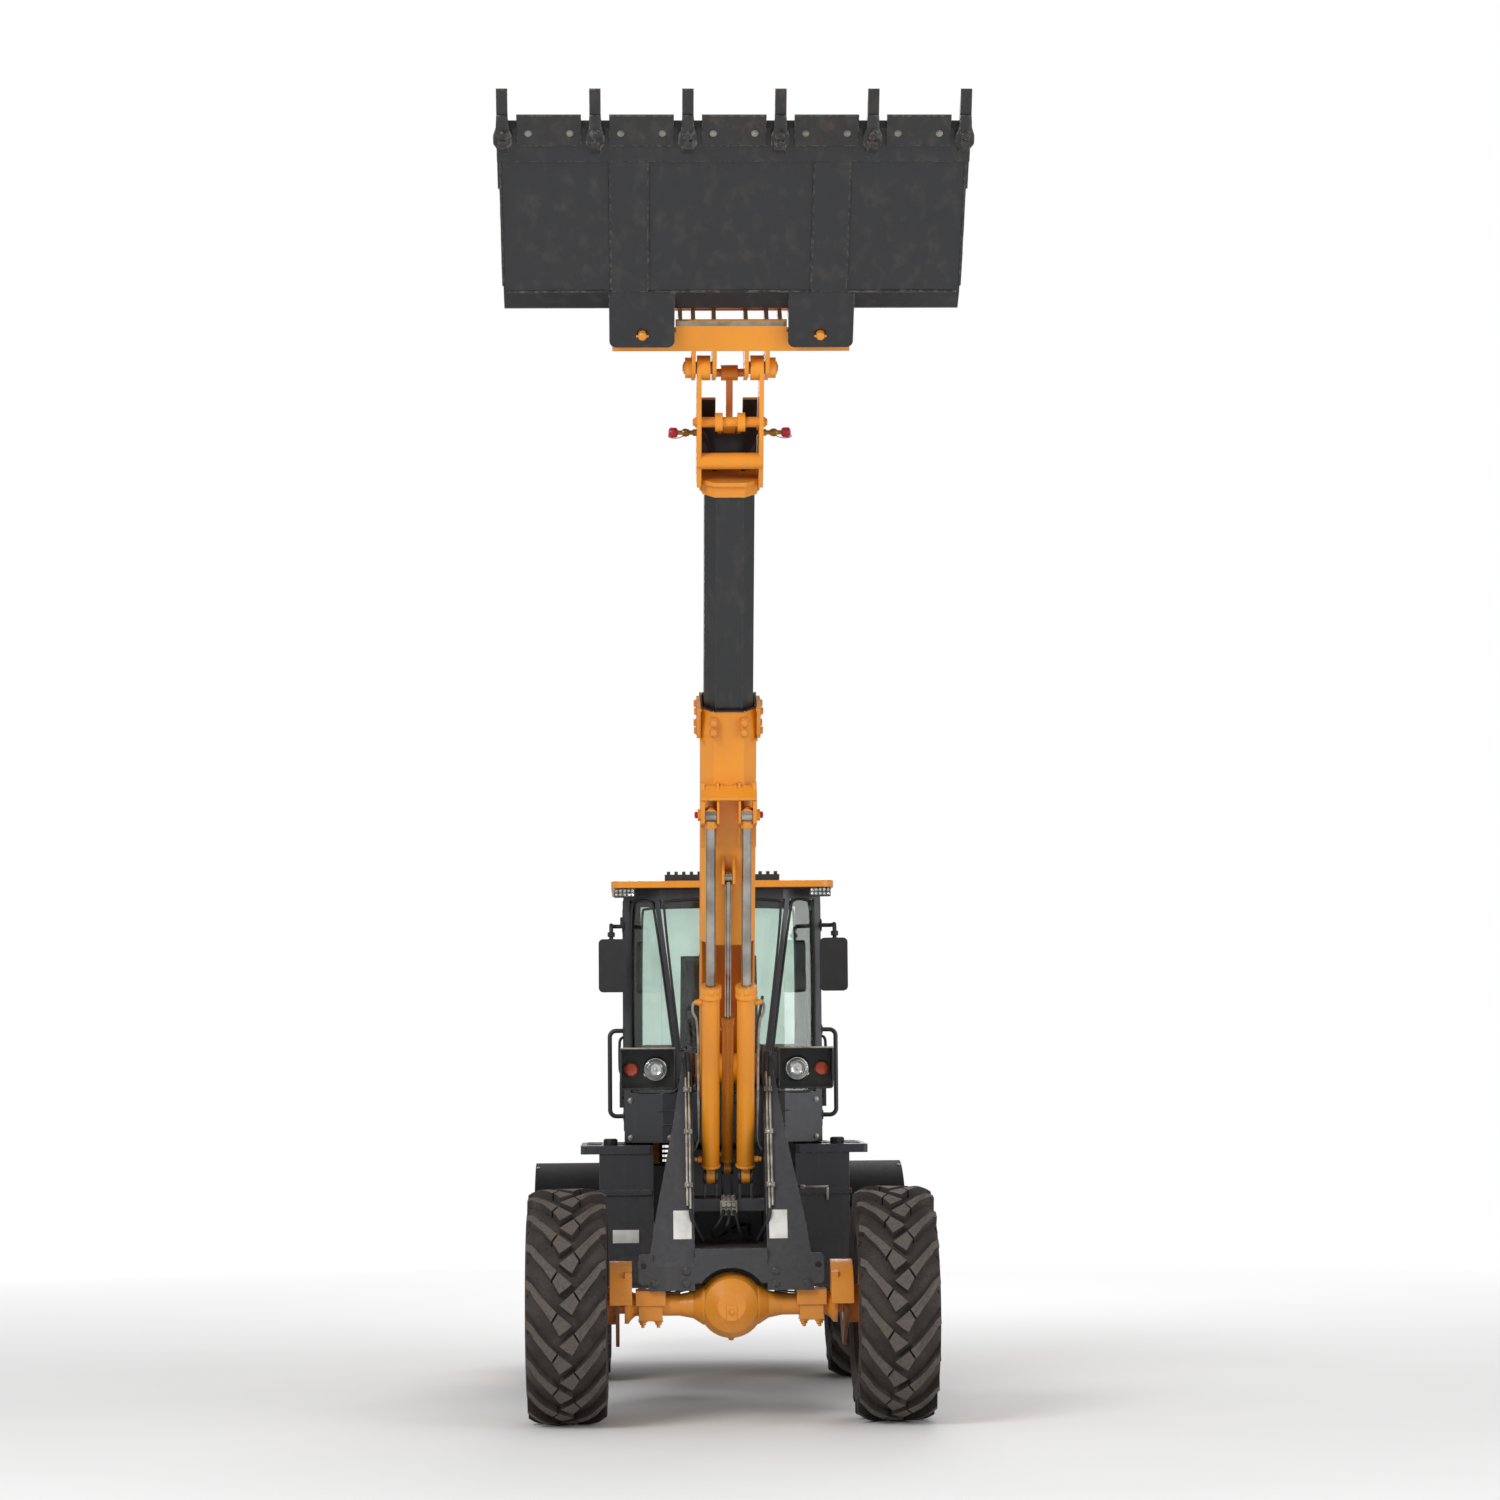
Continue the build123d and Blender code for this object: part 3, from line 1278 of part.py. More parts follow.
def console():
    floor = cab_floor_z + cab_floor_thickness
    column = side_plate([(1230, floor), (1380, floor), (1350, 1700), (1370, 1800), (1320, 1860),
                         (1260, 1760)], -110, 110)
    stem = wheel_frame * Pos(0, 0, -95) * Cylinder(22, 160)
    return column + stem


def steering_wheel():
    ring = Torus(190, 14)
    hub = Cylinder(46, wheel_hub_height)
    spokes = Box(380, 26, 12) + Pos(0, -95, 0) * Box(26, 190, 12)
    return wheel_frame * (ring + hub + spokes)


# All nodes, in the order in which the machine carries them

nodes = {}
nodes["rear_frame"] = rear_frame()
nodes["rear_axle"] = axle(wheelbase, False)
nodes["engine_block"] = engine_block()
nodes["exhaust_pipe"] = exhaust_pipe()
nodes["counterweight"] = counterweight()
nodes["tow_hitch"] = tow_hitch()
nodes["rear_lamps"] = rear_lamps()
nodes["rear_fenders"] = rear_fenders()
nodes["side_box_left"] = side_box(1)
nodes["side_box_right"] = side_box(-1)
nodes["tank_caps"] = tank_caps()
nodes["cab_frame"] = cab_frame()
nodes["cab_glass"] = cab_glass()
nodes["cab_roof"] = cab_roof()
nodes["roof_grille"] = roof_grille()
nodes["work_lamps"] = work_lamps()
nodes["mirrors"] = mirrors()
nodes["grab_rails"] = grab_rails()
nodes["seat_base"] = seat_base()
nodes["seat_cushion"] = seat_cushion()
nodes["console"] = console()
nodes["steering_wheel"] = steering_wheel()
nodes["hood"] = hood()
nodes["hood_grille"] = hood_grille()
for name, side in (("left", 1), ("right", -1)):
    nodes["door_" + name] = door(side)
    nodes["door_glass_" + name] = door_glass(side)
    steer_barrel, steer_rod = steer_cylinder_pieces(side)
    nodes["steer_barrel_" + name] = steer_barrel
    nodes["steer_rod_" + name] = steer_rod
nodes["front_frame"] = front_frame()
nodes["front_axle"] = axle(0, True)
nodes["valve_block"] = front_hydraulics()
nodes["tower_pipes"] = tower_pipes()
nodes["lamp_housings"] = lamp_housing()
nodes["headlamp_lenses"] = lamp_lenses(headlamp_x, 60)
nodes["indicator_lenses"] = lamp_lenses(indicator_x, 36)
for place, axle_y in (("front", 0), ("rear", wheelbase)):
    for name, side in (("left", 1), ("right", -1)):
        nodes["tyre_" + place + "_" + name] = at_wheel(tyre(), side, axle_y)
        nodes["rim_" + place + "_" + name] = at_wheel(rim(), side, axle_y)
nodes["boom_outer"] = outer_boom()
nodes["boom_inner"] = inner_boom()
nodes["boom_head"] = boom_head()
nodes["lift_barrels"], nodes["lift_rods"] = lift_cylinder_pieces()
nodes["level_barrel"], nodes["level_rod"] = level_cylinder_pieces()
nodes["bellcrank"] = bellcrank()
nodes["tilt_link"] = tilt_link()
nodes["coupler"] = coupler()
nodes["bucket"] = bucket()
nodes["bucket_teeth"] = bucket_teeth()

# The origin lies on the floor under the middle of the whole machine's length.
foremost = min(shape.bounding_box().min.Y for shape in nodes.values())
rearmost = max(shape.bounding_box().max.Y for shape in nodes.values())
origin_y = (foremost + rearmost) / 2

os.makedirs("parts", exist_ok=True)
for name, shape in nodes.items():
    export_step(Pos(0, -origin_y, 0) * shape, "parts/" + name + ".step")
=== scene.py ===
from math import cos, pi, radians, sin

import bpy
from mathutils import Matrix, Vector


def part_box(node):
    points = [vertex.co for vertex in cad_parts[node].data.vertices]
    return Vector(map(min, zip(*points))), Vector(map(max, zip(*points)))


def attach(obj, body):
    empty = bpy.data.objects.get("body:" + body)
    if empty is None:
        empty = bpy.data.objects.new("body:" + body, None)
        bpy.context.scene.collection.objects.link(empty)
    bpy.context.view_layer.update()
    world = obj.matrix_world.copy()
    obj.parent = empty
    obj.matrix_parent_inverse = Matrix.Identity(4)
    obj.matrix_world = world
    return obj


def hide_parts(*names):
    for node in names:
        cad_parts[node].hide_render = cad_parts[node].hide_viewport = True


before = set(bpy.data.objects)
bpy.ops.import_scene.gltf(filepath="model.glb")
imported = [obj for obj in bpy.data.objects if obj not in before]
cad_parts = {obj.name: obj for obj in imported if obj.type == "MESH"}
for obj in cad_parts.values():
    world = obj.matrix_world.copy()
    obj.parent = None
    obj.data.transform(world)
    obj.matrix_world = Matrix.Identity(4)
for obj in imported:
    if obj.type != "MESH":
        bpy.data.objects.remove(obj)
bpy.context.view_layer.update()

bl_info = {
    "name": "Telescopic wheel loader",
    "version": (1, 0, 0),
    "blender": (4, 5, 0),
    "location": "3D View > Sidebar > Loader",
    "description": "Fine pieces, finishes and stage of a telescopic wheel loader",
    "category": "Object",
}


def middle(node):
    low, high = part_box(node)
    return (Vector(low) + Vector(high)) / 2


def linear(hex_colour):
    """sRGB hex to linear red, green and blue."""
    parts = [int(hex_colour[i:i + 2], 16) / 255 for i in (0, 2, 4)]
    return tuple(c / 12.92 if c <= 0.04045 else ((c + 0.055) / 1.055) ** 2.4 for c in parts)


# Sizes and colours that a user would change

class LoaderSizes(bpy.types.PropertyGroup):
    bolt: bpy.props.FloatProperty(
        name="Bolt head", description="Width of a hexagon bolt head across its corners",
        default=0.034, min=0.01, max=0.08, unit="LENGTH")
    hose: bpy.props.FloatProperty(
        name="Hose", description="Radius of the rubber hoses",
        default=0.011, min=0.004, max=0.03, unit="LENGTH")
    lug_height: bpy.props.FloatProperty(
        name="Lug height", description="How far the tyre's lugs stand off its carcass",
        default=0.038, min=0.01, max=0.05, unit="LENGTH")
    weld: bpy.props.FloatProperty(
        name="Weld bead", description="Radius of the weld beads on the bucket",
        default=0.007, min=0.002, max=0.02, unit="LENGTH")
    swell: bpy.props.FloatProperty(
        name="Cushion swell", description="How far the seat's foam may push its cover out",
        default=0.026, min=0.0, max=0.05, unit="LENGTH")


class LoaderColours(bpy.types.PropertyGroup):
    enamel: bpy.props.FloatVectorProperty(
        name="Amber enamel", description="Main paint of boom, axles and hood",
        default=linear("E8931A"), size=3, min=0, max=1, subtype="COLOR")
    graphite: bpy.props.FloatVectorProperty(
        name="Graphite enamel", description="Dark paint of bucket, frames and cab",
        default=linear("2A2C32"), size=3, min=0, max=1, subtype="COLOR")
    rubber: bpy.props.FloatVectorProperty(
        name="Tyre rubber", description="Dusty rubber of the tyres",
        default=linear("57504A"), size=3, min=0, max=1, subtype="COLOR")
    glass: bpy.props.FloatVectorProperty(
        name="Cab glass", description="Green tint of the cab's panes",
        default=linear("DAE8E1"), size=3, min=0, max=1, subtype="COLOR")
    grime: bpy.props.FloatVectorProperty(
        name="Grime", description="Dry dust that lies on everything",
        default=linear("7C7061"), size=3, min=0, max=1, subtype="COLOR")


def sizes():
    return bpy.context.scene.loader_sizes


def colours():
    return bpy.context.scene.loader_colours


# The machine's own axes, in millimetres, turned into the frame's metres

front_axle_y = middle("tyre_front_left").y
wheel_x = middle("tyre_front_left").x
wheel_z = middle("tyre_front_left").z
wheelbase = middle("tyre_rear_left").y - front_axle_y
tyre_radius = wheel_z
boom_angle = 64
bucket_angle = 50


def at(x, y, z):
    """Millimetres from the floor under the front axle's middle."""
    return Vector((x / 1000, y / 1000 + front_axle_y, z / 1000))


def turned_frame(origin, angle):
    return Matrix.Translation(origin) @ Matrix.Rotation(radians(-angle), 4, "X")


machine = Matrix.Translation(at(0, 0, 0)) @ Matrix.Scale(0.001, 4)
boom = turned_frame(at(0, 550, 1770), boom_angle) @ Matrix.Scale(0.001, 4)
hinge = boom @ Vector((0, -3805, -120))
tool = turned_frame(hinge, bucket_angle) @ Matrix.Scale(0.001, 4)


# Modelling, in millimetres of one of the frames above

def clear():
    """Leaves edit mode with nothing selected, because the loaded nodes start out selected."""
    if bpy.context.object and bpy.context.object.mode != "OBJECT":
        bpy.ops.object.mode_set(mode="OBJECT")
    bpy.ops.object.select_all(action="DESELECT")


def pick(piece):
    clear()
    bpy.context.view_layer.objects.active = piece
    piece.select_set(True)
    return piece


def edit(piece):
    pick(piece)
    bpy.ops.object.mode_set(mode="EDIT")
    bpy.ops.mesh.select_all(action="SELECT")
    return piece


def chain(name, points, closed=False):
    """One vertex, drawn out from point to point."""
    clear()
    bpy.ops.mesh.primitive_plane_add(size=1, location=(0, 0, 0))
    piece = bpy.context.object
    piece.name = name
    edit(piece)
    bpy.ops.mesh.merge(type="CENTER")
    points = [Vector(point) for point in points]
    bpy.ops.transform.translate(value=points[0])
    for before, after in zip(points, points[1:]):
        bpy.ops.mesh.extrude_vertices_move(TRANSFORM_OT_translate={"value": after - before})
    if closed:
        bpy.ops.mesh.select_all(action="SELECT")
        bpy.ops.mesh.edge_face_add()
    return piece


def lathe(name, profile, origin=(0, 0, 0), axis="X", steps=32, angle=360):
    """Profile of (along, radius) pairs spun about an axis through the origin."""
    along = {"X": (1, 0, 0), "Y": (0, 1, 0), "Z": (0, 0, 1)}[axis]
    out = {"X": (0, 0, 1), "Y": (0, 0, 1), "Z": (1, 0, 0)}[axis]
    points = [Vector(origin) + Vector(along) * a + Vector(out) * r for a, r in profile]
    piece = chain(name, points)
    bpy.ops.mesh.select_all(action="SELECT")
    bpy.ops.mesh.spin(steps=steps, angle=radians(angle), center=origin, axis=along)
    bpy.ops.mesh.select_all(action="SELECT")
    bpy.ops.mesh.remove_doubles(threshold=0.01)
    bpy.ops.mesh.normals_make_consistent(inside=False)
    bpy.ops.object.mode_set(mode="OBJECT")
    return piece


def plate(name, points, depth, rounding=0.0, segments=2):
    """Closed outline pulled out along the depth vector, with its edges rounded."""
    piece = chain(name, points, closed=True)
    bpy.ops.mesh.extrude_region_move(TRANSFORM_OT_translate={"value": depth})
    bpy.ops.mesh.select_all(action="SELECT")
    bpy.ops.mesh.normals_make_consistent(inside=False)
    if rounding:
        bpy.ops.mesh.bevel(offset=rounding, segments=segments, affect="EDGES", clamp_overlap=True)
    bpy.ops.object.mode_set(mode="OBJECT")
    return piece


def slab(name, low, high, rounding=2.0, segments=2):
    """Rounded bar between two corners."""
    x0, y0, z0 = low
    x1, y1, z1 = high
    corners = [(x0, y0, z0), (x1, y0, z0), (x1, y1, z0), (x0, y1, z0)]
    return plate(name, corners, (0, 0, z1 - z0), rounding, segments)


def hose_line(name, points, radius):
    """Smooth round hose, pipe or bead through its guide points."""
    clear()
    curve = bpy.data.curves.new(name, "CURVE")
    curve.dimensions = "3D"
    spline = curve.splines.new("NURBS")
    spline.points.add(len(points) - 1)
    for point, place in zip(spline.points, points):
        point.co = (*place, 1)
    spline.order_u = 3
    spline.use_endpoint_u = True
    curve.resolution_u = 8
    curve.bevel_depth = radius
    curve.bevel_resolution = 3
    curve.use_fill_caps = True
    piece = bpy.data.objects.new(name, curve)
    bpy.context.scene.collection.objects.link(piece)
    pick(piece)
    bpy.ops.object.convert(target="MESH")
    return bpy.context.object


def joined(name, pieces):
    clear()
    for piece in pieces:
        piece.select_set(True)
    bpy.context.view_layer.objects.active = pieces[0]
    if len(pieces) > 1:
        bpy.ops.object.join()
    whole = bpy.context.object
    whole.name = name
    return whole


def copies(name, master, places):
    """The master at each place, each copy with its own mesh, joined; the master goes."""
    made = []
    for place in places:
        copy = bpy.data.objects.new(name, master.data.copy())
        copy.data.transform(place)
        if place.determinant() < 0:
            copy.data.flip_normals()
        bpy.context.scene.collection.objects.link(copy)
        made.append(copy)
    bpy.data.objects.remove(master)
    return joined(name, made)


def shift(x, y, z):
    return Matrix.Translation((x, y, z))


def flipped(matrix):
    """The same place on the machine's other side."""
    return Matrix.Scale(-1, 4, (1, 0, 0)) @ matrix


# Both sides of the machine, and the turns that point a piece's +Z away from it
in_place = Matrix.Identity(4)
each_side = [in_place, flipped(in_place)]
outward = Matrix.Rotation(pi / 2, 4, "Y")
inward = Matrix.Rotation(-pi / 2, 4, "Y")
downward = Matrix.Rotation(pi, 4, "X")
forward = Matrix.Rotation(pi / 2, 4, "X")
backward = Matrix.Rotation(-pi / 2, 4, "X")


def hand_over(piece, body, material, space=machine, smooth=35):
    """Puts a finished piece in its place in the frame, with its finish and the body it rides on."""
    piece.data.transform(space)
    pick(piece)
    bpy.ops.object.shade_smooth_by_angle(angle=radians(smooth))
    piece.data.materials.clear()
    piece.data.materials.append(finish(material))
    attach(piece, body)
    clear()
    return piece


def bolt(name="bolt", size=None, rise=14):
    """Hexagon head on a washer with a domed top, standing along +Z, in millimetres."""
    across = (size or sizes().bolt * 1000) / 2
    clear()
    bpy.ops.mesh.primitive_circle_add(vertices=24, radius=across * 1.25, fill_type="NGON")
    piece = bpy.context.object
    piece.name = name
    edit(piece)
    bpy.ops.mesh.extrude_region_move(TRANSFORM_OT_translate={"value": (0, 0, rise * 0.25)})
    bpy.ops.object.mode_set(mode="OBJECT")
    clear()
    bpy.ops.mesh.primitive_circle_add(vertices=6, radius=across, fill_type="NGON",
                                      location=(0, 0, rise * 0.24))
    head = edit(bpy.context.object)
    bpy.ops.mesh.extrude_region_move(TRANSFORM_OT_translate={"value": (0, 0, rise * 0.66)})
    bpy.ops.mesh.extrude_region_move(TRANSFORM_OT_translate={"value": (0, 0, rise * 0.1)})
    bpy.ops.transform.resize(value=(0.82, 0.82, 1))
    bpy.ops.object.mode_set(mode="OBJECT")
    pick(head)
    bpy.ops.object.transform_apply(location=True, rotation=True, scale=True)
    return joined(name, [piece, head])


# Finishes

def add(tree, kind, inputs=None, **settings):
    """Adds a node with its settings; its inputs take values or other nodes' outputs."""
    made = tree.nodes.new(kind)
    for key, value in settings.items():
        setattr(made, key, value)
    for key, value in (inputs or {}).items():
        if isinstance(value, bpy.types.NodeSocket):
            tree.links.new(value, made.inputs[key])
        else:
            made.inputs[key].default_value = value
    return made


def per_metre(millimetres):
    """Noise scale whose pattern repeats about every so many millimetres."""
    return 1000 / millimetres


def start(name, **fixed):
    material = bpy.data.materials.new(name)
    material.use_nodes = True
    tree = material.node_tree
    shader = tree.nodes["Principled BSDF"]
    for key, value in fixed.items():
        shader.inputs[key.replace("_", " ")].default_value = value
    place = add(tree, "ShaderNodeTexCoord").outputs["Object"]
    return material, tree, shader, place


def opaque(colour):
    return (*colour[:3], 1)


def sprayed_steel(name, paint, deep, dust, rubbed, roughness, rust=0.0):
    """Enamel sprayed over steel plate: an even, slightly wavy sheen, dull where dust has
    settled, darker in broad clouds, and rubbed through along the edges."""
    material, tree, shader, place = start(name, IOR=1.5, Coat_Weight=0.25, Coat_Roughness=0.22)
    shape = add(tree, "ShaderNodeNewGeometry")
    clouds = add(tree, "ShaderNodeTexNoise", {"Vector": place, "Scale": per_metre(420), "Detail": 5.0})
    grain = add(tree, "ShaderNodeTexNoise", {"Vector": place, "Scale": per_metre(22), "Detail": 6.0})
    tall = add(tree, "ShaderNodeMapping", {"Vector": place, "Scale": (16, 16, 1.3)})
    streaks = add(tree, "ShaderNodeTexNoise", {"Vector": tall.outputs[0], "Scale": 1.0, "Detail": 5.0})

    cloud_share = add(tree, "ShaderNodeMapRange", {"Value": clouds.outputs["Fac"], "From Min": 0.35,
                                                   "From Max": 0.7, "To Max": 0.55})
    base = add(tree, "ShaderNodeMix", {"Factor": cloud_share.outputs[0], "A": opaque(paint),
                                       "B": opaque(deep)}, data_type="RGBA")
    streak_share = add(tree, "ShaderNodeMapRange", {"Value": streaks.outputs["Fac"], "From Min": 0.52,
                                                    "From Max": 0.85, "To Max": 0.14})
    washed = add(tree, "ShaderNodeMix", {"Factor": streak_share.outputs[0], "A": base.outputs["Result"],
                                         "B": opaque(colours().grime)}, data_type="RGBA")

    # Dust lies on what faces up, and more of it low on the machine.
    facing_up = add(tree, "ShaderNodeSeparateXYZ", {"Vector": shape.outputs["Normal"]})
    height = add(tree, "ShaderNodeSeparateXYZ", {"Vector": place})
    up_share = add(tree, "ShaderNodeMapRange", {"Value": facing_up.outputs["Z"], "From Min": 0.2,
                                                "From Max": 1.0, "To Max": 0.4})
    low_share = add(tree, "ShaderNodeMapRange", {"Value": height.outputs["Z"], "From Min": 1.5,
                                                 "From Max": 0.2, "To Max": 0.35})
    both = add(tree, "ShaderNodeMath", {0: up_share.outputs[0], 1: low_share.outputs[0]},
               operation="MAXIMUM")
    patchy = add(tree, "ShaderNodeMapRange", {"Value": grain.outputs["Fac"], "From Min": 0.4,
                                              "From Max": 0.65, "To Min": dust * 0.6, "To Max": dust * 1.2})
    dusty = add(tree, "ShaderNodeMath", {0: both.outputs[0], 1: patchy.outputs[0]},
                operation="MULTIPLY", use_clamp=True)
    soiled = add(tree, "ShaderNodeMix", {"Factor": dusty.outputs[0], "A": washed.outputs["Result"],
                                         "B": opaque(colours().grime)}, data_type="RGBA")

    # Edges: where the rounded normal leaves the true one, broken up by the grain.
    round_edge = add(tree, "ShaderNodeBevel", {"Radius": 0.007}, samples=4)
    likeness = add(tree, "ShaderNodeVectorMath", {0: round_edge.outputs[0],
                                                  1: shape.outputs["True Normal"]},
                   operation="DOT_PRODUCT")
    edge = add(tree, "ShaderNodeMapRange", {"Value": likeness.outputs["Value"], "From Min": 0.985,
                                            "From Max": 0.86})
    broken = add(tree, "ShaderNodeMapRange", {"Value": grain.outputs["Fac"], "From Min": 0.47,
                                              "From Max": 0.6, "To Max": rubbed})
    bare = add(tree, "ShaderNodeMath", {0: edge.outputs[0], 1: broken.outputs[0]},
               operation="MULTIPLY", use_clamp=True)
    worn = add(tree, "ShaderNodeMix", {"Factor": bare.outputs[0], "A": soiled.outputs["Result"],
                                       "B": opaque(linear("8C857B"))}, data_type="RGBA")
    colour = worn.outputs["Result"]
    if rust:
        spots = add(tree, "ShaderNodeTexNoise", {"Vector": place, "Scale": per_metre(130), "Detail": 9.0,
                                                 "Roughness": 0.72})
        spot_share = add(tree, "ShaderNodeMapRange", {"Value": spots.outputs["Fac"], "From Min": 0.56,
                                                      "From Max": 0.68, "To Max": rust})
        rusted = add(tree, "ShaderNodeMix", {"Factor": spot_share.outputs[0], "A": colour,
                                             "B": opaque(linear("5E4030"))}, data_type="RGBA")
        colour = rusted.outputs["Result"]
    tree.links.new(colour, shader.inputs["Base Color"])

    dull = add(tree, "ShaderNodeMapRange", {"Value": dusty.outputs[0], "To Min": roughness, "To Max": 0.85})
    sheen = add(tree, "ShaderNodeMapRange", {"Value": grain.outputs["Fac"], "From Min": 0.3,
                                             "From Max": 0.7, "To Min": -0.06, "To Max": 0.08})
    rough = add(tree, "ShaderNodeMath", {0: dull.outputs[0], 1: sheen.outputs[0]}, operation="ADD")
    tree.links.new(rough.outputs[0], shader.inputs["Roughness"])
    # The real orange peel is 3 mm across, too fine to show, so it is drawn 9 mm across.
    peel = add(tree, "ShaderNodeTexNoise", {"Vector": place, "Scale": per_metre(9), "Detail": 2.0})
    wavy = add(tree, "ShaderNodeBump", {"Height": peel.outputs["Fac"], "Strength": 0.08,
                                        "Distance": 0.002, "Normal": round_edge.outputs[0]})
    tree.links.new(wavy.outputs[0], shader.inputs["Normal"])
    return material


def amber_enamel():
    return sprayed_steel("amber enamel", colours().enamel, linear("D47E10"), 0.45, 0.5, 0.36)


def painted_highlight_amber():
    """Paler amber standing as a painted highlight on the lit top edge of the boom head's sheet."""
    return sprayed_steel("pale amber enamel", linear("E2A457"), linear("C98B40"), 0.6, 0.5, 0.5)


def graphite_enamel():
    return sprayed_steel("graphite enamel", colours().graphite, linear("202227"), 0.42, 0.5, 0.42)


def bucket_enamel():
    """Graphite enamel on a tool that works in the ground: scuffed and lightly rusted."""
    return sprayed_steel("bucket enamel", linear("17181C"), linear("121317"), 0.25, 0.8, 0.42, rust=0.04)


def edge_steel():
    """Thick wear plates and teeth, with thin paint and rust coming through."""
    return sprayed_steel("edge steel", linear("1C1B1D"), linear("171412"), 0.3, 1.0, 0.55, rust=0.4)


def boom_enamel():
    """Inner boom, dark and greased by its sliding pads. On the boom head's back sheet the same dark finish is
    painted shade.
    """
    return sprayed_steel("boom enamel", linear("18191C"), linear("131416"), 0.12, 0.3, 0.36)


def black_enamel():
    return sprayed_steel("black enamel", linear("1B1C1F"), linear("141517"), 0.35, 0.4, 0.45)


def plain_surface(name, colour, deep, speck, roughness, bump, **fixed):
    """One stuff with clouds of a deeper tone and a fine relief; speck is its size in millimetres."""
    material, tree, shader, place = start(name, **fixed)
    clouds = add(tree, "ShaderNodeTexNoise", {"Vector": place, "Scale": per_metre(speck * 9),
                                              "Detail": 5.0})
    fine = add(tree, "ShaderNodeTexNoise", {"Vector": place, "Scale": per_metre(speck), "Detail": 3.0})
    share = add(tree, "ShaderNodeMapRange", {"Value": clouds.outputs["Fac"], "From Min": 0.35,
                                             "From Max": 0.68})
    tone = add(tree, "ShaderNodeMix", {"Factor": share.outputs[0], "A": opaque(linear(colour)),
                                       "B": opaque(linear(deep))}, data_type="RGBA")
    tree.links.new(tone.outputs["Result"], shader.inputs["Base Color"])
    rough = add(tree, "ShaderNodeMapRange", {"Value": fine.outputs["Fac"], "From Min": 0.3, "From Max": 0.7,
                                             "To Min": roughness - 0.07, "To Max": roughness + 0.07})
    tree.links.new(rough.outputs[0], shader.inputs["Roughness"])
    relief = add(tree, "ShaderNodeBump", {"Height": fine.outputs["Fac"], "Strength": bump,
                                          "Distance": 0.002})
    tree.links.new(relief.outputs[0], shader.inputs["Normal"])
    return material


def hard_chrome():
    """Ground and plated rod: a tight bright streak along it, dulled by an oil film."""
    return plain_surface("hard chrome", "B9B3AA", "8E8880", 14, 0.2, 0.05, Metallic=1.0)


def zinc_steel():
    """Plated bolts and pipes: pale, spangled and half matt."""
    return plain_surface("zinc plated steel", "B4B0A6", "857F74", 6, 0.4, 0.1, Metallic=0.9)


def bare_steel():
    """Plate rubbed bright by the tool that hangs on it; on the coupler's strip the brightness is partly a
    painted highlight of its lit top side.
    """
    return plain_surface("bare steel", "A7A39C", "77726B", 10, 0.42, 0.15, Metallic=0.85)


def rusty_disc():
    """Brake disc: bright swept iron under a film of new rust."""
    return plain_surface("rusty disc", "8A5A38", "5B3B28", 9, 0.6, 0.3, Metallic=0.35)


def cast_iron():
    """Sand casting in grey primer: a coarse, matt skin."""
    return plain_surface("cast iron", "4A4B4D", "37383A", 7, 0.7, 0.5, Metallic=0.2)


def brass():
    return plain_surface("brass", "B08D4A", "86682F", 8, 0.35, 0.1, Metallic=1.0)


def moulded_fender():
    """Black polyethylene, flat and waxy, so it stays dark even where the light grazes it."""
    return plain_surface("moulded polyethylene", "151517", "0F0F11", 7, 0.75, 0.3, IOR=1.5,
                         Specular_IOR_Level=0.2)


def moulded_plastic():
    """Grained ABS, black and soft in its shine; the grain is drawn 4 mm across to show."""
    return plain_surface("moulded plastic", "1D1D1F", "151516", 4, 0.55, 0.35, IOR=1.53)


def hose_rubber():
    """Wrapped hydraulic hose: matt black with a cloth-marked skin."""
    return plain_surface("hose rubber", "19191A", "232221", 5, 0.62, 0.5, IOR=1.52)


def seal_rubber():
    """Extruded seal round a pane: black, smooth and soft in its shine."""
    return plain_surface("seal rubber", "121213", "1B1B1B", 8, 0.5, 0.1, IOR=1.52)


def red_cap():
    """Dust cap of soft red plastic, faded where the sun meets it."""
    return plain_surface("red cap plastic", "B3182C", "8C1224", 5, 0.4, 0.15, IOR=1.5)


def blank_plate():
    """White enamelled aluminium with nothing printed on it."""
    return plain_surface("blank plate", "DAD9D4", "C4C2BB", 9, 0.4, 0.05, IOR=1.5)


def reflector():
    """Silvered bowl behind a lens."""
    return plain_surface("silvered reflector", "E8E8E6", "CFCFCC", 12, 0.12, 0.02, Metallic=1.0)


def seat_cover():
    """Woven seat cloth: dark grey yarns 5 mm apart, crossed, with a soft sheen at a slant."""
    material, tree, shader, place = start("woven seat cover", Roughness=0.92, Sheen_Weight=0.25,
                                          Sheen_Roughness=0.45)
    warp = add(tree, "ShaderNodeTexWave", {"Vector": place, "Scale": per_metre(30)}, bands_direction="X")
    weft = add(tree, "ShaderNodeTexWave", {"Vector": place, "Scale": per_metre(30)}, bands_direction="Z")
    weave = add(tree, "ShaderNodeMath", {0: warp.outputs["Fac"], 1: weft.outputs["Fac"]},
                operation="MULTIPLY")
    tone = add(tree, "ShaderNodeMix", {"Factor": weave.outputs[0], "A": opaque(linear("1C1D20")),
                                       "B": opaque(linear("3A3B40"))}, data_type="RGBA")
    tree.links.new(tone.outputs["Result"], shader.inputs["Base Color"])
    relief = add(tree, "ShaderNodeBump", {"Height": weave.outputs[0], "Strength": 0.5, "Distance": 0.002})
    tree.links.new(relief.outputs[0], shader.inputs["Normal"])
    return material


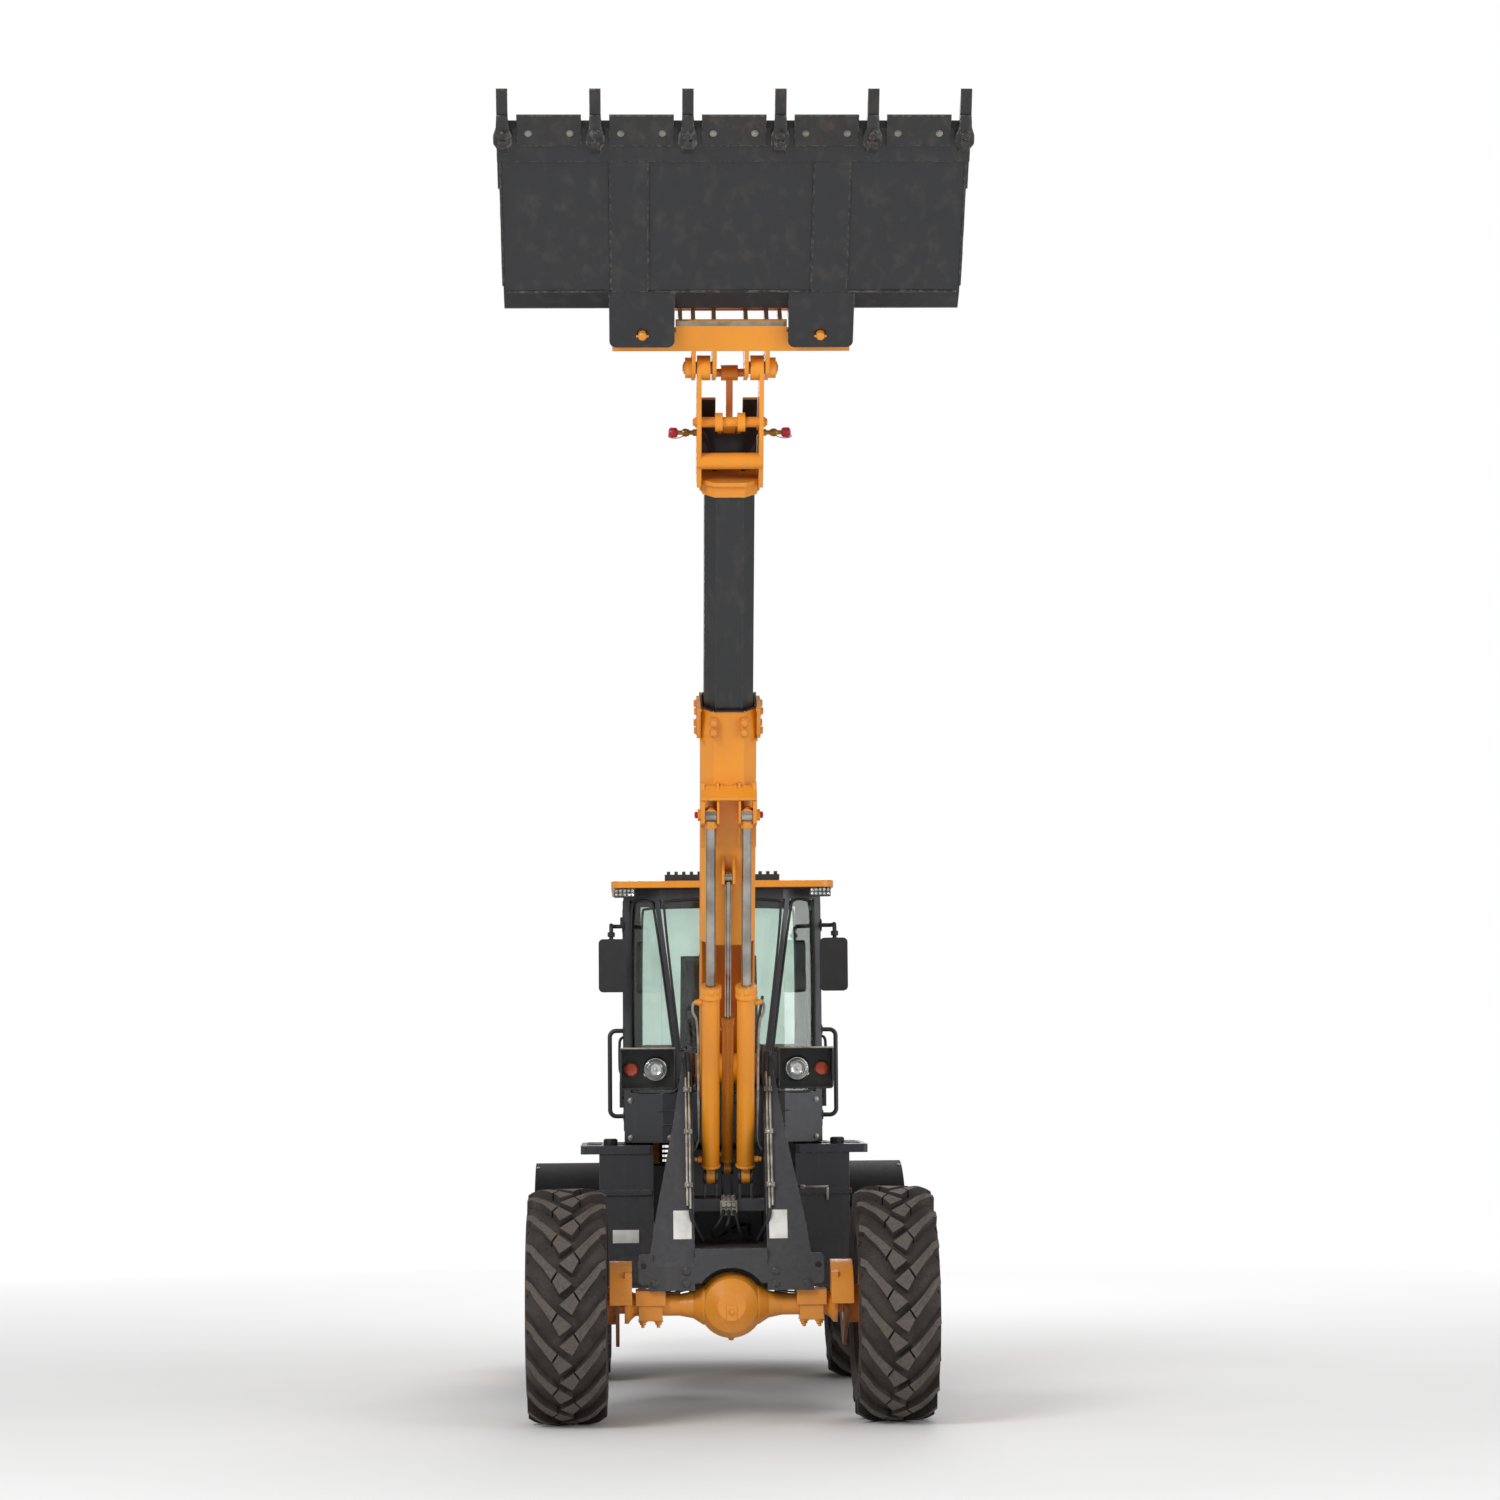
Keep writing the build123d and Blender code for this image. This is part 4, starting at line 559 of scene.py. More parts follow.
def tyre_rubber():
    """Vulcanised carbon-black rubber: worn brown-grey on the bars' faces, and darker between the bars and on
    their sides as painted shade in the tread's hollows.
    """
    material, tree, shader, place = start("tyre rubber", IOR=1.52)
    # Faces marked worn take the dusty rubber; all else takes a darker brown as painted shade.
    faces = add(tree, "ShaderNodeAttribute", attribute_name="worn")
    tread = add(tree, "ShaderNodeMix", {"Factor": faces.outputs["Fac"], "A": opaque(linear("2E2825")),
                                        "B": opaque(colours().rubber)}, data_type="RGBA")
    clouds = add(tree, "ShaderNodeTexNoise", {"Vector": place, "Scale": per_metre(160), "Detail": 6.0})
    fine = add(tree, "ShaderNodeTexNoise", {"Vector": place, "Scale": per_metre(14), "Detail": 7.0,
                                            "Roughness": 0.65})
    dust_share = add(tree, "ShaderNodeMapRange", {"Value": clouds.outputs["Fac"], "From Min": 0.38,
                                                  "From Max": 0.66, "To Max": 0.3})
    dusted = add(tree, "ShaderNodeMix", {"Factor": dust_share.outputs[0], "A": tread.outputs["Result"],
                                         "B": opaque(linear("5D5349"))}, data_type="RGBA")
    scuff_share = add(tree, "ShaderNodeMapRange", {"Value": fine.outputs["Fac"], "From Min": 0.45,
                                                   "From Max": 0.62, "To Max": 0.3})
    scuffed = add(tree, "ShaderNodeMix", {"Factor": scuff_share.outputs[0], "A": dusted.outputs["Result"],
                                          "B": opaque(linear("2B2725"))}, data_type="RGBA")
    tree.links.new(scuffed.outputs["Result"], shader.inputs["Base Color"])
    rough = add(tree, "ShaderNodeMapRange", {"Value": fine.outputs["Fac"], "From Min": 0.3, "From Max": 0.7,
                                             "To Min": 0.72, "To Max": 0.95})
    tree.links.new(rough.outputs[0], shader.inputs["Roughness"])
    relief = add(tree, "ShaderNodeBump", {"Height": fine.outputs["Fac"], "Strength": 0.35,
                                          "Distance": 0.003})
    tree.links.new(relief.outputs[0], shader.inputs["Normal"])
    return material


def clear_stuff(name, tint, roughness, dust):
    """Glass or clear plastic, with a thin veil of dust in soft clouds."""
    material, tree, shader, place = start(name, IOR=1.5, Roughness=roughness, Transmission_Weight=1.0)
    shader.inputs["Base Color"].default_value = opaque(tint)
    veil = add(tree, "ShaderNodeTexNoise", {"Vector": place, "Scale": per_metre(260), "Detail": 6.0})
    share = add(tree, "ShaderNodeMapRange", {"Value": veil.outputs["Fac"], "From Min": 0.4,
                                             "From Max": 0.75, "To Max": dust})
    film = add(tree, "ShaderNodeBsdfDiffuse", {"Color": opaque(linear("9AA49C"))})
    mixed = add(tree, "ShaderNodeMixShader", {0: share.outputs[0], 1: shader.outputs[0],
                                              2: film.outputs[0]})
    tree.links.new(mixed.outputs[0], tree.nodes["Material Output"].inputs["Surface"])
    return material


def tinted_glass():
    return clear_stuff("tinted glass", colours().glass, 0.02, 0.1)


def clear_lens():
    return clear_stuff("clear lens", linear("F2F5F5"), 0.04, 0.05)


def amber_lens():
    return plain_surface("amber lens", "D8480E", "B93A08", 12, 0.2, 0.1, IOR=1.5, Coat_Weight=0.6)


def red_lens():
    return plain_surface("red lens", "A3121A", "7E0D14", 12, 0.2, 0.1, IOR=1.5, Coat_Weight=0.6)


recipes = {
    "amber": amber_enamel, "pale amber": painted_highlight_amber, "graphite": graphite_enamel,
    "bucket": bucket_enamel, "edge": edge_steel, "inner boom": boom_enamel, "black": black_enamel,
    "chrome": hard_chrome, "zinc": zinc_steel, "bare": bare_steel, "disc": rusty_disc,
    "iron": cast_iron, "brass": brass, "plastic": moulded_plastic, "fender": moulded_fender,
    "hose": hose_rubber,
    "seal": seal_rubber, "cap": red_cap, "plate": blank_plate, "reflector": reflector,
    "cloth": seat_cover, "tyre": tyre_rubber, "glass": tinted_glass, "clear": clear_lens,
    "amber lens": amber_lens, "red lens": red_lens,
}
made_finishes = {}


def finish(name):
    if name not in made_finishes:
        made_finishes[name] = recipes[name]()
    return made_finishes[name]


# Which finish each loaded node wears
node_finishes = {
    "amber": ("rear_axle", "front_axle", "cab_roof", "hood", "boom_outer", "boom_head", "bellcrank",
              "tilt_link", "coupler", "lift_barrels", "level_barrel", "rim_front_left",
              "rim_front_right", "rim_rear_left", "rim_rear_right"),
    "graphite": ("rear_frame", "counterweight", "side_box_left", "side_box_right", "cab_frame",
                 "front_frame"),
    "fender": ("rear_fenders",),
    "black": ("tow_hitch", "roof_grille", "grab_rails", "hood_grille", "door_left",
              "door_right", "lamp_housings", "exhaust_pipe", "steer_barrel_left",
              "steer_barrel_right"),
    "bucket": ("bucket",),
    "edge": ("bucket_teeth",),
    "inner boom": ("boom_inner",),
    "chrome": ("lift_rods", "level_rod", "steer_rod_left", "steer_rod_right"),
    "zinc": ("valve_block", "tower_pipes"),
    "iron": ("engine_block",),
    "plastic": ("tank_caps", "mirrors", "seat_base", "console", "steering_wheel"),
    "cloth": ("seat_cushion",),
    "tyre": ("tyre_front_left", "tyre_front_right", "tyre_rear_left", "tyre_rear_right"),
    "glass": ("cab_glass", "door_glass_left", "door_glass_right"),
    "clear": ("headlamp_lenses", "work_lamps"),
    "amber lens": ("indicator_lenses",),
    "red lens": ("rear_lamps",),
}


class LOADER_OT_finishes(bpy.types.Operator):
    """Gives each loaded node its own finish"""
    bl_idname = "loader.finishes"
    bl_label = "Finishes"

    def execute(self, context):
        for name, nodes in node_finishes.items():
            for node in nodes:
                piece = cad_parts[node]
                piece.data.materials.clear()
                piece.data.materials.append(finish(name))
        return {"FINISHED"}


# Wheels, in millimetres from the wheel's centre, with +X outward

wheels = {
    "front_left": (1, 0), "front_right": (-1, 0), "rear_left": (1, 1), "rear_right": (-1, 1),
}
lugs_each_side = 18


def wheel_space(name):
    side, rear = wheels[name]
    centre = Vector((side * wheel_x, front_axle_y + rear * wheelbase, wheel_z))
    space = Matrix.Translation(centre) @ Matrix.Scale(0.001, 4)
    return space @ Matrix.Scale(-1, 4, (1, 0, 0)) if side < 0 else space


def on_each_wheel(name, master, material):
    """One copy of the master on each wheel, turned over for the right-hand ones."""
    made = []
    for wheel in wheels:
        piece = bpy.data.objects.new(f"{name}_{wheel}", master.data.copy())
        if wheels[wheel][0] < 0:
            piece.data.flip_normals()
        bpy.context.scene.collection.objects.link(piece)
        made.append(hand_over(piece, f"wheel_{wheel}", material, wheel_space(wheel), smooth=32))
    bpy.data.objects.remove(master)
    return made


# Outlines on the tread as (distance from the tyre's middle, distance round the tyre)
block_outline = [(-31, 58), (-1, 83), (31, 107), (48, 76), (64, 45), (50, 22), (37, 0), (3, 29)]
bar_outline = [(43, -7), (66, -30), (90, -55), (111, -81), (132, -106), (149, -128), (166, -148),
               (194, -168),
               (197, -126), (174, -112), (158, -81), (136, -52), (115, -26), (93, 6), (72, 37), (58, 15)]


def crown(x):
    """Radius of the tread's outside at a distance from the tyre's middle."""
    return tyre_radius * 1000 - 33 * (max(abs(x) - 100, 0) / 98) ** 2


def lug(name, outline, depth):
    """Rubber bar on the tyre's front, its outer face marked as worn."""
    points = []
    for x, along in outline:
        radius = crown(x)
        points.append((x, -radius * cos(along / radius), -radius * sin(along / radius)))
    piece = chain(name, points, closed=True)
    bpy.ops.mesh.extrude_region_move(TRANSFORM_OT_translate={"value": (0, depth, 0)})
    bpy.ops.transform.resize(value=(1.03, 1, 1.14))
    bpy.ops.mesh.select_all(action="SELECT")
    bpy.ops.mesh.normals_make_consistent(inside=False)
    bpy.ops.object.mode_set(mode="OBJECT")
    outer = min(piece.data.polygons, key=lambda face: face.center.y)
    piece.data.attributes.new("worn", "FLOAT", "FACE").data[outer.index].value = 1
    return piece


class LOADER_OT_tyres(bpy.types.Operator):
    """Four tyres: round carcass, slanted bars and a block before each, half a pitch apart"""
    bl_idname = "loader.tyres"
    bl_label = "Tyres"

    def execute(self, context):
        floor = (tyre_radius - sizes().lug_height) * 1000
        carcass = lathe("carcass", [
            (-150, 306), (-158, 330), (-176, 352), (-186, 356), (-188, 366), (-195, 392), (-201, 432),
            (-202.4, 462), (-198, 484), (-186, 508), (-166, 527), (-120, floor - 2), (0, floor + 2),
            (120, floor - 2), (166, 527), (186, 508), (198, 484), (202.4, 462), (201, 432), (195, 392),
            (188, 366), (186, 356), (176, 352), (158, 330), (150, 306)], steps=72)
        # A low rib between neighbouring bars, from the shoulder down the side.
        rib = plate("rib", [(190, -505, 76), (201, -478, 70), (200, -478, 88), (190, -505, 92)],
                    (-8, 20, -4))
        both = joined("lug pair", [lug("bar", bar_outline, 78), lug("block", block_outline, 52), rib])
        pitch = 2 * pi / lugs_each_side
        places = []
        for number in range(lugs_each_side):
            places.append(Matrix.Rotation(number * pitch, 4, "X"))
            places.append(Matrix.Rotation((number + 0.5) * pitch, 4, "X") @ Matrix.Scale(-1, 4, (1, 0, 0)))
        lugs = copies("lugs", both, places)
        for piece in on_each_wheel("tread_tyre", joined("tyre", [carcass, lugs]), "tyre"):
            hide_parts(piece.name.replace("tread_", ""))
        return {"FINISHED"}


class LOADER_OT_wheel_fittings(bpy.types.Operator):
    """Nuts, hub cover and valve of each wheel"""
    bl_idname = "loader.wheel_fittings"
    bl_label = "Wheel fittings"

    def execute(self, context):
        nut = bolt("nut", 32, 24)
        nuts = copies("nuts", nut, [Matrix.Rotation(number * pi / 5, 4, "X") @ shift(-20, 0, 150) @ outward
                                    for number in range(10)])
        small = bolt("small", 18, 9)
        covers = copies("cover bolts", small, [Matrix.Rotation(number * pi / 3, 4, "X") @ shift(84, 0, 56)
                                               @ outward for number in range(6)])
        on_each_wheel("wheel_nuts", joined("nuts", [nuts, covers]), "zinc")
        cover = lathe("cover", [(76, 74), (84, 72), (86, 66), (86, 34), (92, 30), (96, 12), (96, 0)],
                      steps=40)
        bead = lathe("bead", [(150, 316), (164, 318), (168, 326), (164, 330), (160, 330)], steps=64)
        on_each_wheel("hub_cover", joined("cover", [cover, bead]), "amber")
        offset = 562 - wheel_x * 1000
        swept = lathe("disc", [(offset, 96), (offset, 204), (offset + 1, 206.5), (offset + 17, 206.5),
                               (offset + 18, 204), (offset + 18, 96)], steps=64)
        on_each_wheel("brake_disc_faces", swept, "disc")
        stem = hose_line("stem", [(60, 0, 252), (86, 0, 250), (104, 0, 246)], 4.5)
        cap = lathe("cap", [(0, 6.5), (16, 6.5), (18, 5), (18, 0)], origin=(100, 0, 247), steps=12)
        on_each_wheel("tyre_valve", joined("valve", [stem, cap]), "plastic")
        return {"FINISHED"}


# Bucket and coupler, in millimetres of the tool's frame: x across, -y forward, z up

tooth_count = 6
tooth_first = -1059
tooth_pitch = 423.6
floor_v = -100


def under(x, u, v):
    """Place under the bucket floor, facing down."""
    return shift(x, -u, v) @ downward


class LOADER_OT_bucket_fittings(bpy.types.Operator):
    """Bolts of the edge plates and teeth, tooth straps, weld beads"""
    bl_idname = "loader.bucket_fittings"
    bl_label = "Bucket fittings"

    def execute(self, context):
        plate_low = floor_v - 18 - 14
        plate_bolt = bolt("edge bolt", 26, 8)
        places = []
        for number in range(tooth_count - 1):
            x = tooth_first + (number + 0.5) * tooth_pitch
            places += [under(x - 95, 1300, plate_low), under(x + 95, 1300, plate_low)]
        hand_over(copies("edge_bolts", plate_bolt, places), "tool", "bare", tool)

        tooth_low = floor_v - 18
        tooth_bolt = bolt("tooth bolt", 44, 20)
        places = []
        for number in range(tooth_count):
            x = tooth_first + number * tooth_pitch
            places += [under(x, 1262, tooth_low - 39), under(x, 1306, tooth_low - 39)]
        hand_over(copies("tooth_bolts", tooth_bolt, places), "tool", "edge", tool)

        # Strap of each tooth: a rounded pad, a waist and the long shank.
        strap = plate("strap", [(-26, -1400, tooth_low - 30), (26, -1400, tooth_low - 30),
                                (30, -1340, tooth_low - 34), (43, -1300, tooth_low - 34),
                                (43, -1258, tooth_low - 34), (24, -1226, tooth_low - 30),
                                (-24, -1226, tooth_low - 30), (-43, -1258, tooth_low - 34),
                                (-43, -1300, tooth_low - 34), (-30, -1340, tooth_low - 34)],
                      (0, 0, -6), 3)
        straps = copies("tooth_straps", strap, [shift(tooth_first + number * tooth_pitch, 0, 0)
                                                for number in range(tooth_count)])
        hand_over(straps, "tool", "edge", tool)

        bead = sizes().weld * 1000
        runs = [
            [(-1060, -468, floor_v), (-600, -470, floor_v - 1), (-572, -468, floor_v)],
            [(-392, -468, floor_v), (0, -470, floor_v - 1), (372, -468, floor_v)],
            [(543, -468, floor_v), (800, -470, floor_v - 1), (1060, -468, floor_v)],
        ]
        for x in (-571, -394, 374, 541):
            runs.append([(x, -480, floor_v - 2), (x, -800, floor_v - 2), (x, -1146, floor_v - 2)])
        for side in (-1, 1):
            runs.append([(side * 1074, -500, floor_v + 1), (side * 1075, -800, floor_v),
                         (side * 1074, -1146, floor_v)])
        beads = [hose_line("bead", run, bead) for run in runs]
        for piece in beads:
            edit(piece)
            bpy.ops.transform.vertex_random(offset=1.4, seed=3)
            bpy.ops.object.mode_set(mode="OBJECT")
        hand_over(joined("weld_beads", beads), "tool", "bucket", tool, smooth=60)
        return {"FINISHED"}


class LOADER_OT_coupler_fittings(bpy.types.Operator):
    """Pin ends, knobs, bright strip and pin bolts of the quick coupler"""
    bl_idname = "loader.coupler_fittings"
    bl_label = "Coupler fittings"

    def execute(self, context):
        # Bare steel rubbed bright, and partly a painted highlight of the cross plate's lit top side.
        strip = plate("rubbed_and_highlit_strip", [(-262, -262, -62), (262, -262, -62), (262, -286, -61),
                                       (-262, -286, -61)], (0, 0, 3), 1)
        hand_over(strip, "tool", "bare", tool)
        knob = lathe("knob", [(-128, 0), (-128, 16), (-124, 20), (-118, 20)], axis="Z", steps=24)
        cross = slab("cross", (-30, -5, -122), (30, 5, -112), 3)
        pins = copies("lock_pin_ends", joined("knob", [knob, cross]),
                      [shift(-423, -238, 0), shift(423, -238, 0)])
        hand_over(pins, "tool", "amber", tool)
        nut = bolt("knob head", 70, 34)
        knobs = copies("lock_knobs", nut, [shift(-423, -238, 62), shift(423, -238, 62)])
        hand_over(knobs, "tool", "disc", tool)
        cap = bolt("pin cap", 40, 12)
        caps = copies("hinge_pin_bolts", cap, [shift(218, 0, 0) @ outward,
                                               shift(-218, 0, 0) @ outward.inverted()])
        hand_over(caps, "tool", "zinc", tool)
        return {"FINISHED"}


# Boom and cylinders, in millimetres of the boom's frame: x across, -y forward, z up

def cylinder_space(x, base, eye):
    """Millimetres of a cylinder that stands on its base eye and points along +Z."""
    run = Vector((0, eye[0] - base[0], eye[1] - base[1]))
    turn = run.to_track_quat("Z", "X").to_matrix().to_4x4()
    return Matrix.Translation(at(x, *base)) @ turn @ Matrix.Scale(0.001, 4)


def boom_eye(s, t):
    turn = radians(boom_angle)
    return 550 - s * cos(turn) + t * sin(turn), 1770 + s * sin(turn) + t * cos(turn)


lift_base, lift_eye = (400, 1215), boom_eye(1525, -230)
lift_run = (Vector(lift_eye) - Vector(lift_base)).length
level_base, level_eye = (550, 1250), boom_eye(1180, -210)


class LOADER_OT_head_fittings(bpy.types.Operator):
    """Hose couplers with red caps, pin bolts and the hoses that feed them"""
    bl_idname = "loader.head_fittings"
    bl_label = "Boom head fittings"

    def execute(self, context):
        stub = lathe("coupler", [(160, 0), (160, 17), (178, 17), (180, 11), (196, 11), (198, 16), (206, 18),
                                 (224, 18), (230, 15), (232, 11), (256, 11), (262, 9), (262, 0)],
                     steps=20)
        ring = lathe("collar", [(206, 18), (208, 20), (222, 20), (224, 18)], steps=20)
        stub = joined("coupler", [stub, ring])
        seat = shift(0, -3462, -52)
        hand_over(copies("hose_couplers", stub, [seat, flipped(seat)]), "boom_inner", "brass",
                  boom)
        cap = lathe("cap", [(252, 13), (254, 21), (262, 24), (284, 25), (292, 22), (296, 14), (298, 0)],
                    steps=24)
        loop = hose_line("tether", [(288, 0, -20), (310, 8, -44), (262, 12, -66), (222, 6, -40),
                                    (212, 0, -18)],
                         2.2)
        cap = joined("cap", [cap, loop])
        hand_over(copies("red_dust_caps", cap, [seat, flipped(seat)]), "boom_inner", "cap",
                  boom)
        feed = hose_line("feed", [(70, -3240, 30), (74, -3320, 20), (112, -3400, -10), (118, -3462, -52),
                                  (138, -3462, -52)], sizes().hose * 1000)
        hand_over(copies("head_hoses", feed, each_side), "boom_inner", "hose",
                  boom)
        pin_bolt = bolt("pin bolt", 36, 12)
        spots = [shift(169, -3534, -120) @ outward, shift(-169, -3534, -120) @ inward]
        collar_bolt = [shift(side * 152, -3190, t) @ (outward if side > 0 else inward)
                       for side in (-1, 1) for t in (-70, 0, 70)]
        collar_bolt = [shift(-side * 17, 0, 0) @ spot
                       for side, spot in zip((-1, -1, -1, 1, 1, 1), collar_bolt)]
        hand_over(copies("head_bolts", pin_bolt, spots + collar_bolt), "boom_inner", "amber",
                  boom)
        # Bent sheet that closes the head's back, cut out for the swinging bellcrank. Its dark inner-boom
        # finish is painted shade, standing for amber paint in deep shade.
        sheet = [plate("sheet", [(-138, -3246, 104), (138, -3246, 104), (138, -3474, 104),
                                 (-138, -3474, 104)],
                       (0, 0, 8))]
        for side in (-1, 1):
            sheet.append(plate("sheet", [(side * 66, -3474, 104), (side * 138, -3474, 104),
                                         (side * 138, -3596, 57), (side * 66, -3596, 57)], (0, 0, 8)))
        hand_over(joined("head_sheet", sheet), "boom_inner", "inner boom", boom)
        # The lip's paler amber is a painted highlight on the sheet's lit top edge.
        lip = plate("lip", [(66, -3597, 56), (138, -3597, 56), (138, -3601, 66), (66, -3601, 66)],
                    (0, -5, -2))
        hand_over(copies("head_sheet_lips", lip, each_side), "boom_inner",
                  "pale amber", boom)
        return {"FINISHED"}


class LOADER_OT_boom_fittings(bpy.types.Operator):
    """Slide-pad bolts, ear bolts, ribs and greased pin ends of the outer boom"""
    bl_idname = "loader.boom_fittings"
    bl_label = "Boom fittings"

    def execute(self, context):
        screw = bolt("boom bolt", 38, 14)
        spots = []
        for side, turn in ((1, outward), (-1, inward)):
            for s, t in ((2035, 2), (2035, -110), (1925, 20), (1925, -90)):
                spots.append(shift(side * 159, -s, t) @ turn)
            for s in (1948, 2000):
                spots.append(shift(side * 76, -s, -183) @ downward)
        hand_over(copies("boom_bolts", screw, spots), "boom_outer", "amber", boom)
        rib = plate("rib", [(-8, -1668, -168), (-8, -1640, -212), (-8, -1618, -236), (-8, -1616, -168)],
                    (16, 0, 0), 2)
        ribs = copies("boom_ribs", rib, [shift(-34, 0, 0), shift(34, 0, 0)])
        hand_over(ribs, "boom_outer", "amber", boom)
        cap = lathe("grease cap", [(155, 14), (160, 17), (168, 17), (172, 12), (173, 0)], steps=20)
        seat = shift(0, -1525, -230)
        hand_over(copies("grease_caps", cap, [seat, flipped(seat)]), "boom_outer", "cap", boom)
        band = []
        for s in (1893, 2052):
            for side in (-1, 1):
                band.append(slab("band", (side * 140 - 5, -s - 6, -150), (side * 140 + 5, -s + 6, 60), 3))
        hand_over(joined("ear_welds", band), "boom_outer", "amber", boom)
        wiper = []
        for points in (((-76, -168), (76, -168)), ((84, -162), (136, -108)), ((-84, -162), (-136, -108)),
                       ((139, -96), (139, 96)), ((-139, -96), (-139, 96)), ((-76, 166), (76, 166))):
            (x0, t0), (x1, t1) = points
            middle_x, middle_t = (x0 + x1) / 2, (t0 + t1) / 2
            wiper.append(hose_line("wiper", [(x0, -2056, t0), (middle_x, -2057, middle_t), (x1, -2056, t1)],
                                   5))
        hand_over(joined("boom_wiper", wiper), "boom_outer", "seal", boom, smooth=60)
        return {"FINISHED"}


class LOADER_OT_cylinder_fittings(bpy.types.Operator):
    """Notched gland nuts, weld rings and ports of the lift and levelling cylinders"""
    bl_idname = "loader.cylinder_fittings"
    bl_label = "Cylinder fittings"

    def execute(self, context):
        tooth = slab("notch", (-13, 48, 1016), (13, 55, 1046), 2)
        teeth = copies("notches", tooth, [Matrix.Rotation(k * pi / 4, 4, "Z") for k in range(8)])
        ring = lathe("ring", [(984, 48), (987, 54.8), (1006, 55), (1010, 54)], axis="Z", steps=40)
        weld = lathe("weld", [(54, 46), (58, 51), (66, 51), (70, 46)], axis="Z", steps=40)
        port = lathe("port", [(44, 0), (44, 17), (66, 17), (68, 13), (82, 13), (82, 0)], axis="Y", steps=20)
        ports = copies("ports", port, [shift(0, 0, 962), shift(0, 0, 96)])
        one = joined("gland", [teeth, ring, weld, ports])
        right = cylinder_space(-90, lift_base, lift_eye)
        left = flipped(right)
        hand_over(copies("lift_glands", one, [left, right]), "lift_barrels", "amber",
                  in_place)
        eye = lathe("eye", [(-26.8, 24), (-26.8, 38.8), (26.8, 38.8), (26.8, 24)], steps=40)
        eye.data.transform(shift(0, 0, lift_run))
        sleeve = lathe("sleeve", [(lift_run - 66, 0), (lift_run - 66, 29.5), (lift_run - 62, 31.5),
                                  (lift_run - 30, 31.5), (lift_run - 30, 0)], axis="Z", steps=40)
        hand_over(copies("lift_rod_eyes", joined("eye", [eye, sleeve]), [left, right]), "lift_rods",
                  "amber", in_place)
        lift_pipe = hose_line("pipe", [(0, 78, 962), (0, 92, 962), (0, 92, 900), (0, 62, 860), (0, 62, 300),
                                       (0, 64, 180), (0, 84, 150)], 7)
        hand_over(copies("lift_pipes", lift_pipe, [left, right]), "lift_barrels", "zinc",
                  in_place)
        space = cylinder_space(0, level_base, level_eye)
        nut = lathe("nut", [(826, 30), (830, 34), (848, 34), (850, 33)], axis="Z", steps=32)
        flat = slab("flat", (-9, 30, 846), (9, 34.5, 864), 1.5)
        flats = copies("flats", flat, [Matrix.Rotation(k * pi / 3, 4, "Z") for k in range(6)])
        weld = lathe("weld", [(44, 30), (48, 34), (56, 34), (60, 30)], axis="Z", steps=32)
        port = lathe("port", [(28, 0), (28, 12), (46, 12), (48, 9), (60, 9), (60, 0)], axis="Y", steps=16)
        ports = copies("ports", port, [shift(0, 0, 800), shift(0, 0, 84)])
        hand_over(joined("level_gland", [nut, flats, weld, ports]), "level_barrel", "amber",
                  space)
        return {"FINISHED"}


# Front body

def slope_space():
    """Millimetres on the towers' sloped fronts: x across, y up the slope, z off the plate."""
    up = Vector((0, 560, 1082)).normalized()
    off = Vector((0, -1082, 560)).normalized()
    turn = Matrix(((1, 0, 0), (0, up.y, off.y), (0, up.z, off.z))).to_4x4()
    return Matrix.Translation(at(0, -120, 788)) @ turn @ Matrix.Scale(0.001, 4)


